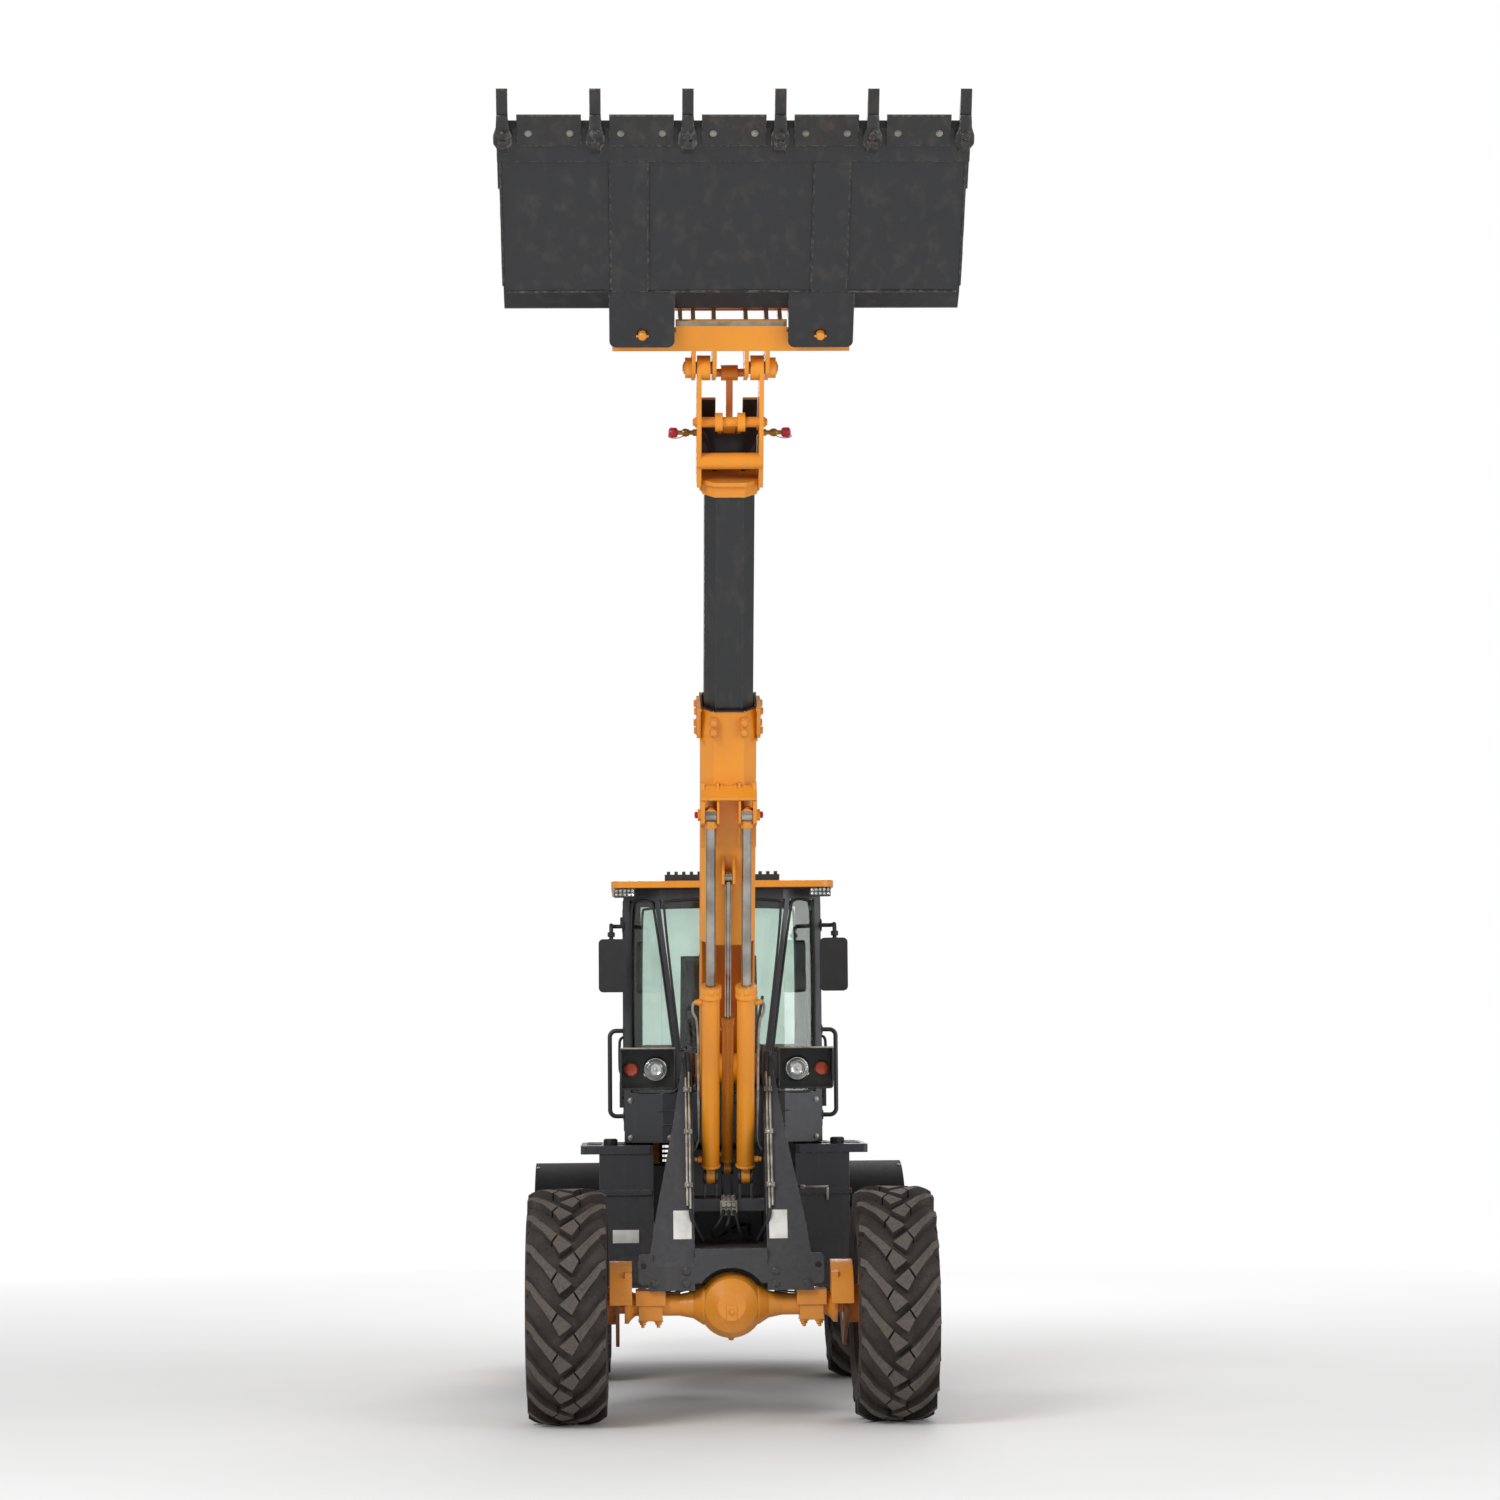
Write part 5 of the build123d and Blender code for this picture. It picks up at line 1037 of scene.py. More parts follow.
class LOADER_OT_tower_fittings(bpy.types.Operator):
    """Blank plates, clamps, hoses, valve fittings and bolts of the front frame"""
    bl_idname = "loader.tower_fittings"
    bl_label = "Tower fittings"

    def execute(self, context):
        label = slab("label", (196, 146, 0), (288, 304, 2.5), 1)
        rivet = lathe("rivet", [(2, 5), (3.5, 4), (4, 0)], axis="Z", steps=12)
        rivets = copies("rivets", rivet, [shift(x, y, 0) for x in (204, 280) for y in (154, 296)])
        label = joined("label", [label, rivets])
        hand_over(copies("blank_plates", label, each_side), "front_body",
                  "plate", slope_space())
        screw = bolt("clamp bolt", 20, 8)
        spots = []
        for up in (433, 733, 973):
            spots += [shift(208, up, 30), shift(-208, up, 30)]
        hand_over(copies("clamp_bolts", screw, spots), "front_body", "zinc", slope_space())

        radius = sizes().hose * 1000
        hoses = []
        for side in (-1, 1):
            hoses.append(hose_line("hose", [(side * 200, 1078, 18), (side * 200, 1130, 22),
                                            (side * 206, 1190, 6),
                                            (side * 204, 1236, -60), (side * 192, 1240, -150),
                                            (side * 176, 1190, -220)], radius))
            hoses.append(hose_line("hose", [(side * 216, 1048, 18), (side * 217, 1110, 20),
                                            (side * 222, 1200, -20),
                                            (side * 226, 1230, -100), (side * 218, 1200, -190)], radius))
            hoses.append(hose_line("hose", [(side * 200, 302, 18), (side * 198, 262, 18),
                                            (side * 176, 220, -20),
                                            (side * 140, 190, -110)], radius))
        hand_over(joined("tower_hoses", hoses), "front_body", "hose", slope_space(),
                  smooth=60)

        # Valve fittings and the loops that drop from them into the opening below.
        nut = bolt("valve nut", 30, 20)
        spots = [shift(x, 312, 1100) for x in (-26, 0, 26)]
        spots += [shift(x, 296, z) @ forward for x in (-26, 0, 26) for z in (1045, 1075)]
        hand_over(copies("valve_nuts", nut, spots), "front_body", "zinc")
        loops = []
        for x, drop, reach in ((-26, 930, 230), (0, 960, 190), (26, 915, 250)):
            loops.append(hose_line("loop", [(x, 290, 1045), (x, 262, 1044), (x * 1.6, reach - 10, 1000),
                                            (x * 3 - 20, reach, drop),
                                            (x * 3.4 + 30, reach + 90, drop - 30),
                                            (x * 2 + 60, reach + 260, drop + 10), (x + 90, 600, 960)], 9))
            loops.append(hose_line("loop", [(x, 312, 1112), (x * 1.1, 322, 1122), (x * 1.2, 352, 1122),
                                            (x * 1.3, 420, 1104), (x * 1.3, 470, 1084)], 7))
        hand_over(joined("valve_hoses", loops), "front_body", "hose", smooth=60)

        foot_bolt = bolt("frame bolt", 34, 14)
        spots = []
        for side in (-1, 1):
            for x, z in ((225, 700), (225, 760), (385, 700)):
                spots.append(shift(side * x, -120, z) @ forward)
            for y, z in ((560, 980), (640, 1200), (600, 1500)):
                spots.append(shift(side * 230, y, z) @ (outward if side > 0 else inward))
        hand_over(copies("frame_bolts", foot_bolt, spots), "front_body", "graphite")
        pin_lock = bolt("pin lock", 60, 16)
        spots = [shift(256, 550, 1770) @ outward, shift(-256, 550, 1770) @ inward]
        hand_over(copies("boom_pin_bolts", pin_lock, spots), "front_body", "zinc")
        return {"FINISHED"}


class LOADER_OT_axle_fittings(bpy.types.Operator):
    """Clamp nuts, level plate and plug, drain plug and brake lines of both axles"""
    bl_idname = "loader.axle_fittings"
    bl_label = "Axle fittings"

    def execute(self, context):
        rear = wheelbase * 1000
        for name, y, body in (("front", 0, "front_body"), ("rear", rear, "chassis")):
            stud = lathe("stud", [(0, 9), (30, 9), (33, 6), (33, 0)], axis="Z", steps=16)
            nut = joined("nut", [bolt("nut", 38, 18), stud])
            spots = [shift(side * x, y + step, 511.5) @ downward for side in (-1, 1) for x in (366, 444)
                     for step in (-62, 62)]
            hand_over(copies(f"{name}_axle_nuts", nut, spots), body, "amber")
            level_plate = slab("level", (-27, y - 153, 512), (27, y - 147, 594), 3)
            plug = lathe("plug", [(0, 15), (8, 15), (10, 12), (10, 0)], axis="Z", steps=6)
            plug = copies("plug", plug, [shift(0, y - 153, 560) @ forward])
            drain = copies("drain", bolt("drain", 30, 14), [shift(0, y, 422.5) @ downward])
            hand_over(joined(f"{name}_axle_plugs", [level_plate, plug, drain]), body, "amber")
            line = []
            for side in (-1, 1):
                line.append(hose_line("line", [(side * 60, y + 40, 702), (side * 150, y + 50, 684),
                                               (side * 240, y + 60, 650), (side * 330, y + 92, 640),
                                               (side * 440, y + 96, 640), (side * 515, y + 60, 640)], 5))
            hand_over(joined(f"{name}_brake_lines", line), body, "zinc", smooth=60)
        return {"FINISHED"}


# Lamps

class LOADER_OT_lamps(bpy.types.Operator):
    """Headlamps and indicators with bowls, bulbs and ribbed lenses; work lamps; rear lamps"""
    bl_idname = "loader.lamps"
    bl_label = "Lamps"

    def execute(self, context):
        lamp_z = 1768
        seat = (371, 0, lamp_z)
        bowl = lathe("bowl", [(548, 60), (549, 56), (560, 50), (570, 38), (577, 20), (578, 0)], seat, "Y",
                     40)
        ring = lathe("ring", [(549, 57), (546, 61), (549, 66), (560, 66), (578, 60)], seat, "Y", 40)
        bulb = lathe("bulb", [(576, 9), (562, 9), (556, 7), (553, 0)], seat, "Y", 16)
        hoop = lathe("hoop", [(556, 30), (554, 32), (556, 34), (560, 34)], seat, "Y", 32)
        head = hand_over(copies("headlamp_bowls", joined("bowl", [bowl, ring, bulb, hoop]), each_side),
                         "front_body",
                         "reflector")
        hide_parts("headlamp_lenses")
        lens = lathe("lens", [(552, 57), (549, 50), (546.5, 36), (545, 20), (544.5, 0)], seat, "Y", 40)
        pick(lens)
        lens.modifiers.new("wall", "SOLIDIFY").thickness = 2.5
        bpy.ops.object.modifier_apply(modifier="wall")
        hand_over(copies("headlamp_fronts", lens, each_side), "front_body", "clear")
        seat = (497, 0, lamp_z)
        amber = lathe("amber", [(580, 35), (556, 35), (550, 30), (547, 16), (546.5, 0)], seat, "Y", 36)
        rings = [lathe("rib", [(551, r + 1.5), (545.5 + r * 0.12, r), (551, r - 1.5)], seat, "Y", 28)
                 for r in (12, 22)]
        piece = hand_over(copies("indicator_fronts", joined("amber", [amber, *rings]), each_side),
                          "front_body",
                          "amber lens")
        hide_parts("indicator_lenses")
        rim = lathe("rim", [(580, 40), (552, 40), (549, 38), (552, 35)], seat, "Y", 36)
        lip = slab("lip", (268, 417, 1874), (554, 424, 1882), 2)
        hand_over(copies("lamp_rims", joined("rim", [rim, lip]), each_side), "front_body", "zinc")

        # Work lamps: a finned black case with a row of small bright cells behind a clear front.
        y0, z1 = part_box("work_lamps")[0][1] * 1000 - front_axle_y * 1000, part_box("work_lamps")[1][2] * 1000
        case = slab("case", (470, y0 + 14, z1 - 50), (584, y0 + 70, z1), 4)
        fins = [slab("fin", (478 + k * 11, y0 + 66, z1 - 46), (482 + k * 11, y0 + 70, z1 - 4), 0.8)
                for k in range(10)]
        piece = hand_over(copies("work_lamp_cases", joined("case", [case, *fins]), each_side), "chassis",
                          "plastic")
        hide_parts("work_lamps")
        cell = lathe("cell", [(2, 9), (12, 5), (13, 0)], (0, 0, 0), "Y", 12)
        cells = copies("cells", cell, [shift(484 + k * 21.5, y0, z1 - 15 - row * 20) for k in range(5)
                                       for row in (0, 1)])
        hand_over(copies("work_lamp_cells", cells, each_side), "chassis", "reflector")
        front = slab("front", (472, y0, z1 - 48), (582, y0 + 4, z1 - 2), 1.5)
        hand_over(copies("work_lamp_fronts", front, each_side), "chassis", "clear")

        low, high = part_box("rear_lamps")
        y1 = high[1] * 1000 - front_axle_y * 1000
        z0, z1 = low[2] * 1000, high[2] * 1000
        frame_piece = plate("surround", [(616, y1 - 24, z0 - 5), (794, y1 - 24, z0 - 5),
                                         (794, y1 - 24, z1 + 5),
                                         (616, y1 - 24, z1 + 5)], (0, 12, 0), 4)
        hand_over(copies("rear_lamp_surrounds", frame_piece, each_side), "chassis", "plastic")
        turn = slab("turn", (736, y1 - 14, z0 + 3), (786, y1 + 1, z1 - 3), 5)
        hand_over(copies("rear_indicators", turn, each_side), "chassis", "amber lens")
        stop = slab("stop", (624, y1 - 14, z0 + 3), (730, y1, z1 - 3), 5)
        ribs = [slab("rib", (630, y1 - 3, z0 + 12 + k * 11), (724, y1 + 1, z0 + 15 + k * 11), 1)
                for k in range(6)]
        piece = hand_over(copies("rear_stop_lamps", joined("stop", [stop, *ribs]), each_side), "chassis",
                          "red lens")
        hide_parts("rear_lamps")
        return {"FINISHED"}


# Cab

def seal_round(corners, radius, name="seal"):
    """Rubber bead along a pane's edge, with a guide point close to each side of a corner."""
    points = []
    count = len(corners)
    for number, corner in enumerate(corners):
        here = Vector(corner)
        before = Vector(corners[number - 1])
        after = Vector(corners[(number + 1) % count])
        points += [here + (before - here).normalized() * 30, here + (after - here).normalized() * 30]
    points.append(points[0])
    return hose_line(name, points, radius)


class LOADER_OT_cab_fittings(bpy.types.Operator):
    """Seals, wipers, mirror glass, rail feet, roof edge, handles and bolts of the cab"""
    bl_idname = "loader.cab_fittings"
    bl_label = "Cab fittings"

    def execute(self, context):
        front, corner, rear = 1165, 1265, 2230
        low, high = 1640, 2680
        slant = (corner - front) / (535 - 330)
        seals = [seal_round([(-206, front + 1, low), (206, front + 1, low), (330, front + 1, high),
                             (-330, front + 1, high)], 7)]
        for side in (-1, 1):
            seals.append(seal_round([(side * 240, front + 1, low), (side * 326, front + 1, low),
                                     (side * 498, front + 1 + slant * 168, low),
                                     (side * 498, front + 1 + slant * 168, high),
                                     (side * 368, front + 3 + slant * 38, high)], 7))
        seals.append(seal_round([(-440, rear - 1, 1700), (440, rear - 1, 1700), (440, rear - 1, high),
                                 (-440, rear - 1, high)], 8))
        hand_over(joined("pane_seals", seals), "chassis", "seal", smooth=60)
        for name, side in (("left", 1), ("right", -1)):
            x = side * 534
            edges = [seal_round([(x, 1360, 1500), (x, 2070, 1500), (x, 2070, 2640), (x, 1360, 2640)], 7),
                     seal_round([(x, 1314, 1430), (x, 2116, 1430), (x, 2116, 2686), (x, 1314, 2686)], 5)]
            hand_over(joined(f"door_seals_{name}", edges), f"door_{name}", "seal",
                      smooth=60)
            grip = hose_line("grip", [(side * 538, 1332, 1740), (side * 558, 1332, 1744),
                                      (side * 560, 1332, 1800), (side * 560, 1332, 1880),
                                      (side * 558, 1332, 1936), (side * 538, 1332, 1940)], 8)
            lock = lathe("lock", [(534, 16), (548, 16), (551, 12), (551, 0)], (0, 1326, 1625), steps=20)
            if side < 0:
                lock = copies("lock", lock, [flipped(in_place)])
            hand_over(joined(f"door_grips_{name}", [grip, lock]), f"door_{name}", "plastic")

        # Wipers: a spindle, an arm and a blade, low on the front and high on the back.
        parts = [lathe("spindle", [(1140, 0), (1140, 14), (1150, 18), (1166, 20)], (60, 0, 1600), "Y", 20),
                 hose_line("arm", [(60, 1146, 1600), (90, 1142, 1690), (150, 1150, 1800),
                                   (196, 1156, 1900)], 5),
                 slab("blade", (-8, -6, -260), (8, 5, 260), 2)]
        parts[2] = copies("blade", parts[2],
                          [shift(168, 1157, 1900) @ Matrix.Rotation(radians(10), 4, "Y")])
        parts.append(lathe("spindle", [(2256, 0), (2256, 14), (2246, 18), (2229, 20)], (0, 0, 2650), "Y",
                           20))
        parts.append(hose_line("arm", [(0, 2250, 2650), (-40, 2252, 2560), (-90, 2246, 2450)], 5))
        parts.append(copies("blade", slab("blade", (-8, -5, -200), (8, 5, 200), 2),
                            [shift(-96, 2240, 2430) @ Matrix.Rotation(radians(14), 4, "Y")]))
        hand_over(joined("wipers", parts), "chassis", "plastic")

        pane = slab("pane", (532, 1090, 2196), (656, 1096, 2448), 2.5)
        rim = plate("rim", [(524, 1088, 2190), (664, 1088, 2190), (664, 1088, 2454), (524, 1088, 2454)],
                    (0, 6, 0), 3)
        hand_over(copies("mirror_glass", pane, each_side), "chassis", "reflector")
        clamp = [lathe("clamp", [(z, 17), (z + 4, 20), (z + 22, 20), (z + 26, 17)], (600, 1061, 0), "Z", 20)
                 for z in (2440, 2476)]
        foot = lathe("foot", [(534, 34), (541, 34), (543, 28), (543, 11)], (0, 1287, 2540), steps=24)
        hand_over(copies("mirror_fittings", joined("rim", [rim, *clamp, foot]), each_side), "chassis",
                  "plastic")

        feet = [lathe("rail foot", [(534, 26), (540, 26), (542, 22), (542, 12)], (0, 1287, z), steps=24)
                for z in (1515, 1975)]
        hand_over(copies("rail_feet", joined("feet", feet), each_side), "chassis", "black")

        # Roof: a dark lining under the edge.
        lining = plate("lining", [(-585, 1098, 2739), (585, 1098, 2739), (585, 1164, 2739),
                                  (-585, 1164, 2739)],
                       (0, 0, -5), 1.5)
        hand_over(lining, "chassis", "plastic")
        screw = bolt("cab bolt", 26, 10)
        spots = [shift(side * 500, 1248, z) @ forward for side in (-1, 1) for z in (1400, 1600)]
        spots += [shift(side * x, 1165, 1400) @ forward for side in (-1, 1) for x in (80, 290)]
        spots += [shift(side * 490, 2230, z) @ backward for side in (-1, 1)
                  for z in (1450, 1640)]
        hand_over(copies("cab_bolts", screw, spots), "chassis", "zinc")
        skirt = [slab("step fold", (-330, 1158, 1466), (330, 1166, 1472), 2)]
        for side in (-1, 1):
            skirt.append(slab("vent", (side * 300 - 60, 1160, 1540), (side * 300 + 60, 1166, 1546), 2))
        hand_over(joined("cab_folds", skirt), "chassis", "graphite")
        return {"FINISHED"}


class LOADER_OT_side_box_fittings(bpy.types.Operator):
    """Ribbed filler caps, treads, latches, hinges and the blank plate of the side boxes"""
    bl_idname = "loader.side_box_fittings"
    bl_label = "Side box fittings"

    def execute(self, context):
        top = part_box("tank_caps")[1][2] * 1000
        rib = slab("rib", (35, -4, top - 30), (38, 4, top - 3), 1)
        ribs = copies("ribs", rib, [shift(610, 1200, 0) @ Matrix.Rotation(k * pi / 8, 4, "Z")
                                    for k in range(16)])
        bar = slab("bar", (580, 1194, top - 4), (640, 1206, top + 3), 2)
        hand_over(copies("cap_ribs", joined("cap", [ribs, bar]), each_side), "chassis", "plastic")
        tread = slab("tread", (-40, -9, 0), (40, 9, 5), 2)
        places = [shift(x, y, 1360) for x in (430, 540, 700) for y in (1330, 1420, 1510, 1600, 1690, 1780)]
        places += [shift(605 + (k % 2) * 10, y, 860) for k, y in enumerate((1480, 1540, 1600, 1660, 1720))]
        hand_over(copies("treads", copies("tread", tread, places), each_side), "chassis", "black")
        hinge_bar = lathe("hinge", [(0, 9), (70, 9), (70, 0)], axis="X", steps=16)
        hinge_bar = copies("lid_hinges", hinge_bar, [shift(x, 1934, 1338) for x in (430, 620)])
        hand_over(copies("lid_hinges", hinge_bar, each_side), "chassis", "black")
        # The bright latch is on the driver's left box only, and the blank plate on the other.
        latch = [slab("latch", (420, 1104, 1128), (556, 1111, 1140), 2),
                 slab("latch", (544, 1104, 1062), (556, 1111, 1138), 2),
                 slab("latch", (405, 1100, 1122), (432, 1112, 1146), 3)]
        hand_over(joined("lid_latch", latch), "chassis", "bare")
        label = slab("blank_plate_box", (-600, 1116, 842), (-460, 1120.5, 912), 1)
        hand_over(label, "chassis", "plate")
        return {"FINISHED"}


# Rear

class LOADER_OT_rear_fittings(bpy.types.Operator):
    """Grille mesh, hood catches, ballast bolts, reflectors, a bright tip and mudguard bolts"""
    bl_idname = "loader.rear_fittings"
    bl_label = "Rear fittings"

    def execute(self, context):
        rear = 4010
        wires = []
        for k in range(22):
            x = -300 + k * 600 / 21
            wires.append(slab("wire", (x - 2, rear - 20, 1136), (x + 2, rear - 16, 1344), 0.8, 1))
        hand_over(joined("grille_wires", wires), "hood", "black")
        catch = [slab("catch", (-46, rear - 1, 1404), (46, rear + 10, 1434), 5),
                 hose_line("pull", [(-34, rear + 6, 1410), (-30, rear + 26, 1404), (0, rear + 30, 1402),
                                    (30, rear + 26, 1404), (34, rear + 6, 1410)], 5)]
        hand_over(joined("hood_catch", catch), "hood", "plastic")
        lip = [seal_round([(side * 500, 3252, 1155), (side * 500, 3698, 1155), (side * 500, 3698, 1396),
                           (side * 500, 3252, 1396)], 4) for side in (-1, 1)]
        hand_over(joined("louvre_seals", lip), "hood", "seal", smooth=60)
        grips = [hose_line("grip", [(side * 501, 2700, 1240), (side * 532, 2704, 1240),
                                    (side * 534, 2760, 1240), (side * 534, 2840, 1240),
                                    (side * 532, 2896, 1240), (side * 501, 2900, 1240)], 8)
                 for side in (-1, 1)]
        hand_over(joined("hood_grips", grips), "hood", "plastic")
        screw = bolt("ballast bolt", 58, 20)
        spots = [shift(side * x, 4180, z) @ backward for side in (-1, 1)
                 for x, z in ((300, 640), (300, 900), (560, 640))]
        hand_over(copies("ballast_bolts", screw, spots), "chassis", "zinc")
        glow = copies("glow", slab("glow", (800, 4176, 820), (860, 4184, 850), 2), each_side)
        hand_over(glow, "chassis", "red lens")
        holder = slab("holder", (-760, 4178, 760), (-520, 4183, 870), 2)
        hand_over(holder, "chassis", "plate")
        tip = lathe("tip", [(-566, 27), (-568, 31), (-566, 36), (-556, 36), (-552, 32)], (0, 3440, 590),
                    steps=28)
        hand_over(tip, "chassis", "bare")
        rows = []
        mudguard_radius = 641
        for angle in (50, 75, 105, 130):
            y = wheelbase * 1000 + mudguard_radius * cos(radians(angle))
            z = 587.5 + mudguard_radius * sin(radians(angle))
            for x in (615, 1030):
                rows.append(slab("mudguard bolt", (x - 10, y - 10, z - 7), (x + 10, y + 10, z + 4), 3))
        hand_over(copies("mudguard_bolts", joined("rows", rows), each_side), "chassis", "zinc")
        eye = []
        for side in (-1, 1):
            eye.append(hose_line("eye", [(side * 700, 3900, 1036), (side * 700, 3900, 1080),
                                         (side * 700, 3930, 1098), (side * 700, 3960, 1080),
                                         (side * 700, 3960, 1036)], 11))
        hand_over(joined("lifting_eyes", eye), "chassis", "graphite")
        return {"FINISHED"}


# Seat

foam_cell = 0.006
seam_reach = 0.024
seam_depth = 0.007


def foam(name, low, high, lean, turn_at, seams):
    """Cushion swollen by pressure from a slightly smaller block, with its sewn channels drawn in."""
    piece = slab(name, low, high, 18, 3)
    piece.data.transform(machine @ shift(*turn_at) @ Matrix.Rotation(radians(lean), 4, "X")
                         @ shift(*turn_at).inverted())
    pick(piece)
    grid = piece.modifiers.new("grid", "REMESH")
    grid.mode = "VOXEL"
    grid.voxel_size = foam_cell
    bpy.ops.object.modifier_apply(modifier="grid")
    limit = sizes().swell
    before = [vertex.co.copy() for vertex in piece.data.vertices]
    cloth = piece.modifiers.new("cloth", "CLOTH")
    cloth.settings.use_pressure = True
    cloth.settings.uniform_pressure_force = 4
    cloth.settings.effector_weights.gravity = 0
    scene = bpy.context.scene
    for step in range(1, 21):
        scene.frame_set(step)
    pick(piece)
    bpy.ops.object.modifier_apply(modifier="cloth")
    scene.frame_set(1)
    for vertex, was in zip(piece.data.vertices, before):
        moved = vertex.co - was
        if moved.length > limit:
            vertex.co = was + moved.normalized() * limit
    for vertex in piece.data.vertices:
        for seam in seams:
            gap = abs(vertex.co.x - seam)
            if gap < seam_reach:
                inside = Vector((0, 0, seam_depth * (1 - gap / seam_reach) ** 2))
                vertex.co -= inside if lean == 0 else Vector((0, -inside.z, 0))
    smooth = piece.modifiers.new("smooth", "SUBSURF")
    smooth.levels = smooth.render_levels = 1
    bpy.ops.object.modifier_apply(modifier="smooth")
    return piece


class LOADER_OT_seat(bpy.types.Operator):
    """Swollen seat cushion and backrest with sewn channels, on a shell and pan with a hinge and belt"""
    bl_idname = "loader.seat"
    bl_label = "Seat"

    def execute(self, context):
        pad = foam("seat_pad", (-216, 1624, 1786), (216, 2036, 1862), 0, (0, 0, 0), (-0.13, 0.13))
        back = foam("seat_back", (-206, 1990, 1904), (206, 2056, 2392), -6.3, (0, 2030, 1880),
                    (-0.12, 0.12))
        for piece, fill in ((pad, 0.8), (back, 0.75)):
            hand_over(piece, "chassis", "cloth", in_place, smooth=80)
        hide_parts("seat_cushion")
        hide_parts("seat_cushion")
        shell = plate("shell", [(-222, 2092, 1884), (222, 2092, 1884), (214, 2148, 2400),
                                (-214, 2148, 2400)], (0, 8, 0), 3)
        pan = slab("pan", (-232, 1610, 1768), (232, 2052, 1780), 4)
        hinge_bar = lathe("hinge", [(-234, 0), (-234, 22), (234, 22), (234, 0)], (0, 2062, 1850), steps=24)
        belt = hose_line("belt", [(-236, 2040, 1800), (-240, 1990, 1880), (-150, 1900, 1896),
                                  (0, 1880, 1900)], 5)
        hand_over(joined("seat_shell", [shell, pan, hinge_bar, belt]), "chassis", "plastic")
        return {"FINISHED"}


# Stage

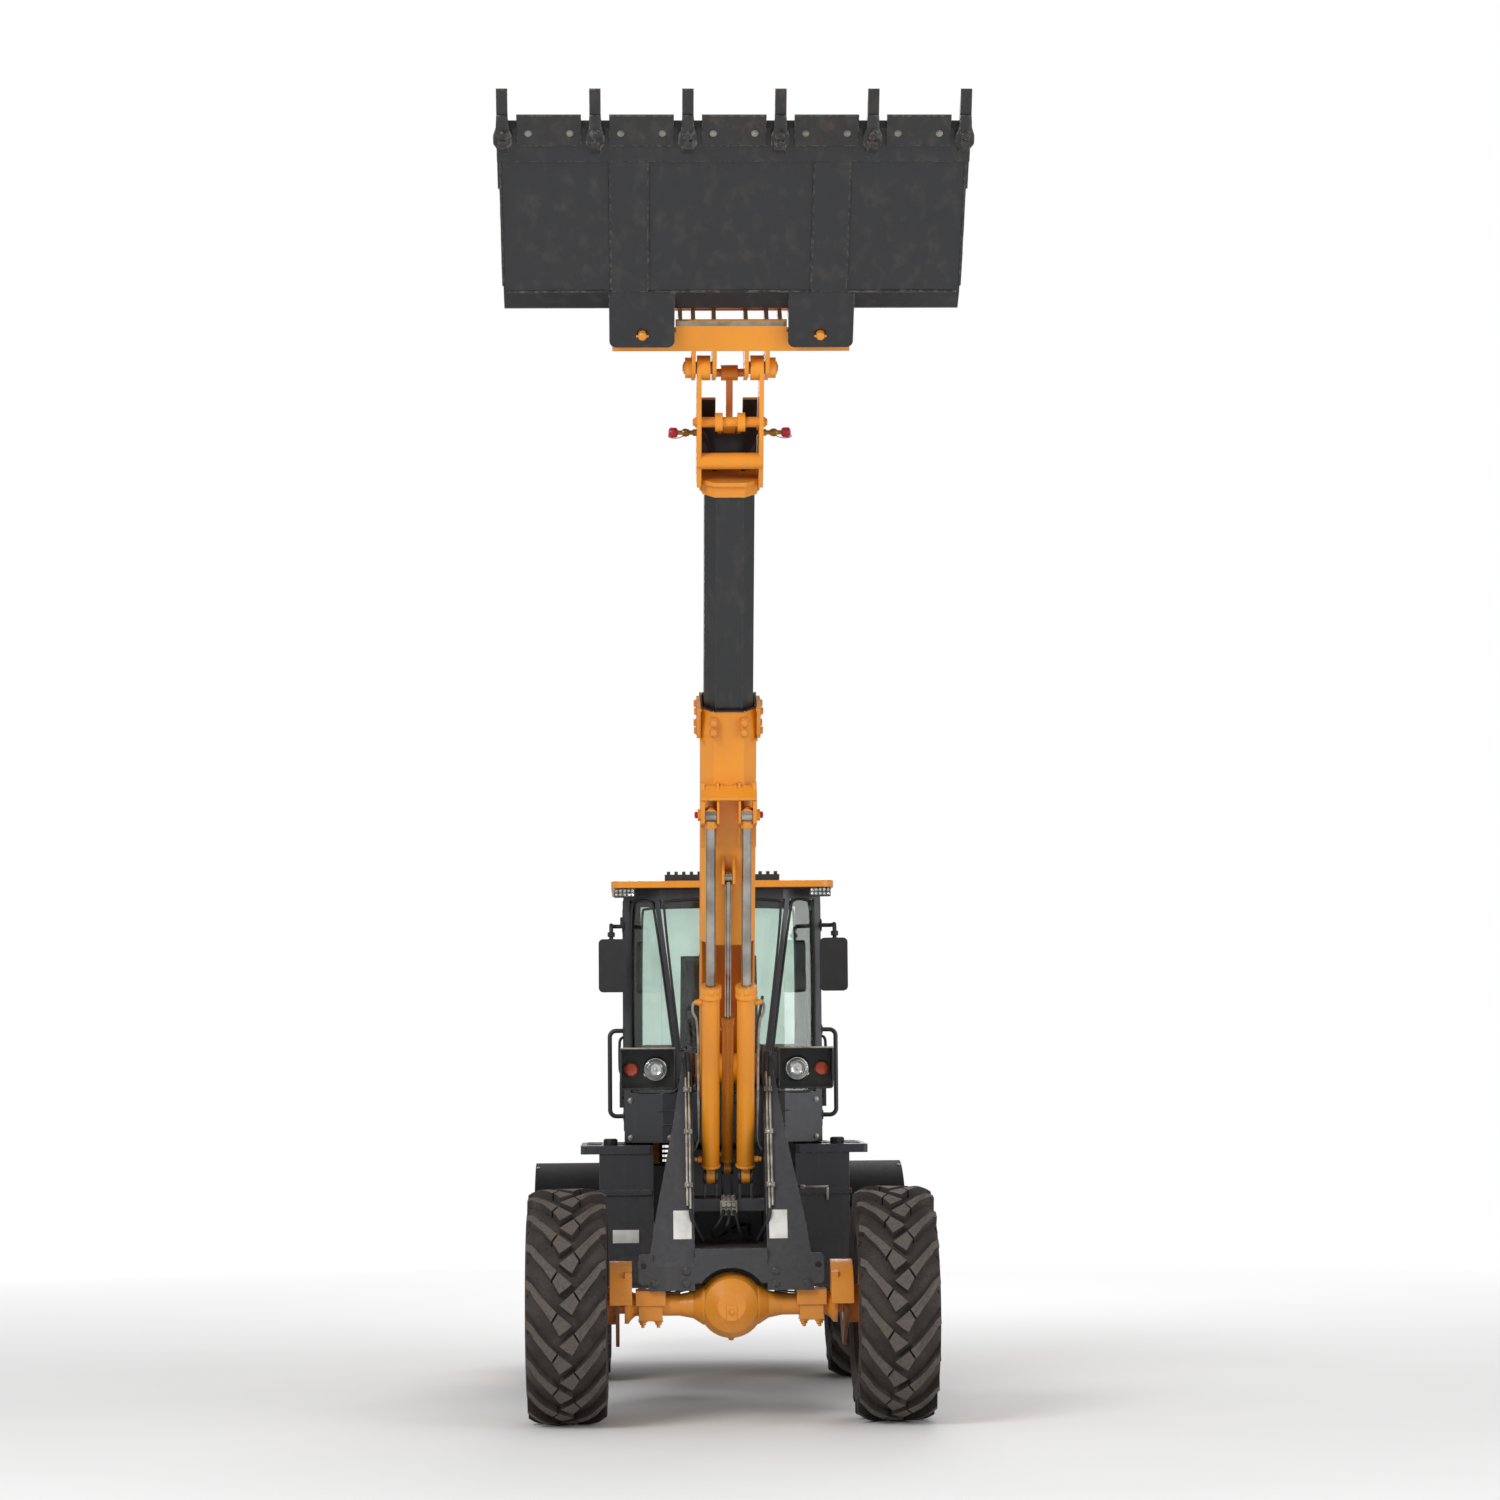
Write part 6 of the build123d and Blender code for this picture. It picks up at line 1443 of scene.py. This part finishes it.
class LOADER_OT_stage(bpy.types.Operator):
    """Pale floor, soft lamps, white surroundings and the camera low in front"""
    bl_idname = "loader.stage"
    bl_label = "Stage"

    def execute(self, context):
        clear()
        bpy.ops.mesh.primitive_circle_add(vertices=64, radius=70, fill_type="NGON", location=(0, 0, 0))
        floor = context.object
        floor.name = "floor"
        edit(floor)
        bpy.ops.mesh.inset(thickness=30)
        bpy.ops.object.mode_set(mode="OBJECT")
        concrete, tree, shader, place = start("pale floor", Roughness=0.9)
        cloud = add(tree, "ShaderNodeTexNoise", {"Vector": place, "Scale": per_metre(1500), "Detail": 3.0})
        tone = add(tree, "ShaderNodeMix", {"Factor": cloud.outputs["Fac"], "A": opaque(linear("F4F4F4")),
                                           "B": opaque(linear("EFEFEF"))}, data_type="RGBA")
        tree.links.new(tone.outputs["Result"], shader.inputs["Base Color"])
        # Away from the machine the floor fades, for the camera alone, into the white surroundings.
        far = add(tree, "ShaderNodeVectorMath", {0: place}, operation="LENGTH")
        fade = add(tree, "ShaderNodeMapRange", {"Value": far.outputs["Value"], "From Min": 4.0,
                                                "From Max": 13.0})
        ray = add(tree, "ShaderNodeLightPath")
        share = add(tree, "ShaderNodeMath", {0: fade.outputs[0], 1: ray.outputs["Is Camera Ray"]},
                    operation="MULTIPLY")
        glow = add(tree, "ShaderNodeEmission", {"Color": (1, 1, 1, 1), "Strength": 1.0})
        faded = add(tree, "ShaderNodeMixShader", {0: share.outputs[0], 1: shader.outputs[0],
                                                  2: glow.outputs[0]})
        tree.links.new(faded.outputs[0], tree.nodes["Material Output"].inputs["Surface"])
        floor.data.materials.append(concrete)

        world = bpy.data.worlds.new("white room")
        world.use_nodes = True
        tree = world.node_tree
        room = tree.nodes["Background"]
        room.inputs["Color"].default_value = opaque(linear("FFFFFF"))
        room.inputs["Strength"].default_value = 0.5
        white = add(tree, "ShaderNodeBackground", {"Color": (1, 1, 1, 1), "Strength": 1.0})
        ray = add(tree, "ShaderNodeLightPath")
        seen = add(tree, "ShaderNodeMath", {0: ray.outputs["Is Camera Ray"],
                                            1: ray.outputs["Is Transmission Ray"]}, operation="MAXIMUM")
        mixed = add(tree, "ShaderNodeMixShader", {0: seen.outputs[0], 1: room.outputs[0],
                                                  2: white.outputs[0]})
        tree.links.new(mixed.outputs[0], tree.nodes["World Output"].inputs["Surface"])
        context.scene.world = world

        # Lamps: where each stands, its width, its power and what it looks at.
        lamps = (
            ("key lamp", (-7, -11, 9), 5, 900, (0, 0, 2.5)),
            ("fill lamp", (9, -9, 4), 6, 420, (0, 0, 2.5)),
            ("rear lamp", (2, 11, 8), 6, 600, (0, 0, 2)),
        )
        for name, place, width, power, target in lamps:
            light = bpy.data.lights.new(name, "AREA")
            light.size = width
            light.energy = power
            lamp = bpy.data.objects.new(name, light)
            lamp.matrix_world = (Matrix.Translation(place)
                                 @ (Vector(place) - Vector(target)).to_track_quat("Z",
                                                                                  "Y").to_matrix().to_4x4())
            context.scene.collection.objects.link(lamp)

        lens = bpy.data.cameras.new("photo camera")
        lens.sensor_width = 36
        lens.lens = 88.44
        lens.clip_end = 400
        camera = bpy.data.objects.new("photo camera", lens)
        camera.matrix_world = (Matrix.Translation(at(-483, -18745, 1850))
                               @ Matrix.Rotation(radians(-1.84), 4, "Z")
                               @ Matrix.Rotation(radians(94.70), 4, "X")
                               @ Matrix.Rotation(radians(-0.47), 4, "Z"))
        context.scene.collection.objects.link(camera)
        context.scene.camera = camera
        context.scene.view_settings.view_transform = "Standard"
        return {"FINISHED"}


class LOADER_PT_panel(bpy.types.Panel):
    """Lists the steps and the sizes and colours they use"""
    bl_label = "Telescopic wheel loader"
    bl_idname = "LOADER_PT_panel"
    bl_space_type = "VIEW_3D"
    bl_region_type = "UI"
    bl_category = "Loader"

    def draw(self, context):
        column = self.layout.column()
        for name in LoaderSizes.__annotations__:
            column.prop(context.scene.loader_sizes, name)
        for name in LoaderColours.__annotations__:
            column.prop(context.scene.loader_colours, name)
        for step in steps:
            column.operator(step.bl_idname)


steps = (LOADER_OT_finishes,
         LOADER_OT_tyres,
         LOADER_OT_wheel_fittings,
         LOADER_OT_bucket_fittings,
         LOADER_OT_coupler_fittings,
         LOADER_OT_head_fittings,
         LOADER_OT_boom_fittings,
         LOADER_OT_cylinder_fittings,
         LOADER_OT_tower_fittings,
         LOADER_OT_axle_fittings,
         LOADER_OT_lamps,
         LOADER_OT_cab_fittings,
         LOADER_OT_side_box_fittings,
         LOADER_OT_rear_fittings,
         LOADER_OT_seat,
         LOADER_OT_stage)


def register():
    for kind in (LoaderSizes, LoaderColours, *steps, LOADER_PT_panel):
        bpy.utils.register_class(kind)
    bpy.types.Scene.loader_sizes = bpy.props.PointerProperty(type=LoaderSizes)
    bpy.types.Scene.loader_colours = bpy.props.PointerProperty(type=LoaderColours)


def unregister():
    del bpy.types.Scene.loader_colours
    del bpy.types.Scene.loader_sizes
    for kind in reversed((LoaderSizes, LoaderColours, *steps, LOADER_PT_panel)):
        bpy.utils.unregister_class(kind)


def main():
    register()
    for step in steps:
        group, name = step.bl_idname.split(".")
        getattr(getattr(bpy.ops, group), name)()


if __name__ == "__main__":
    main()
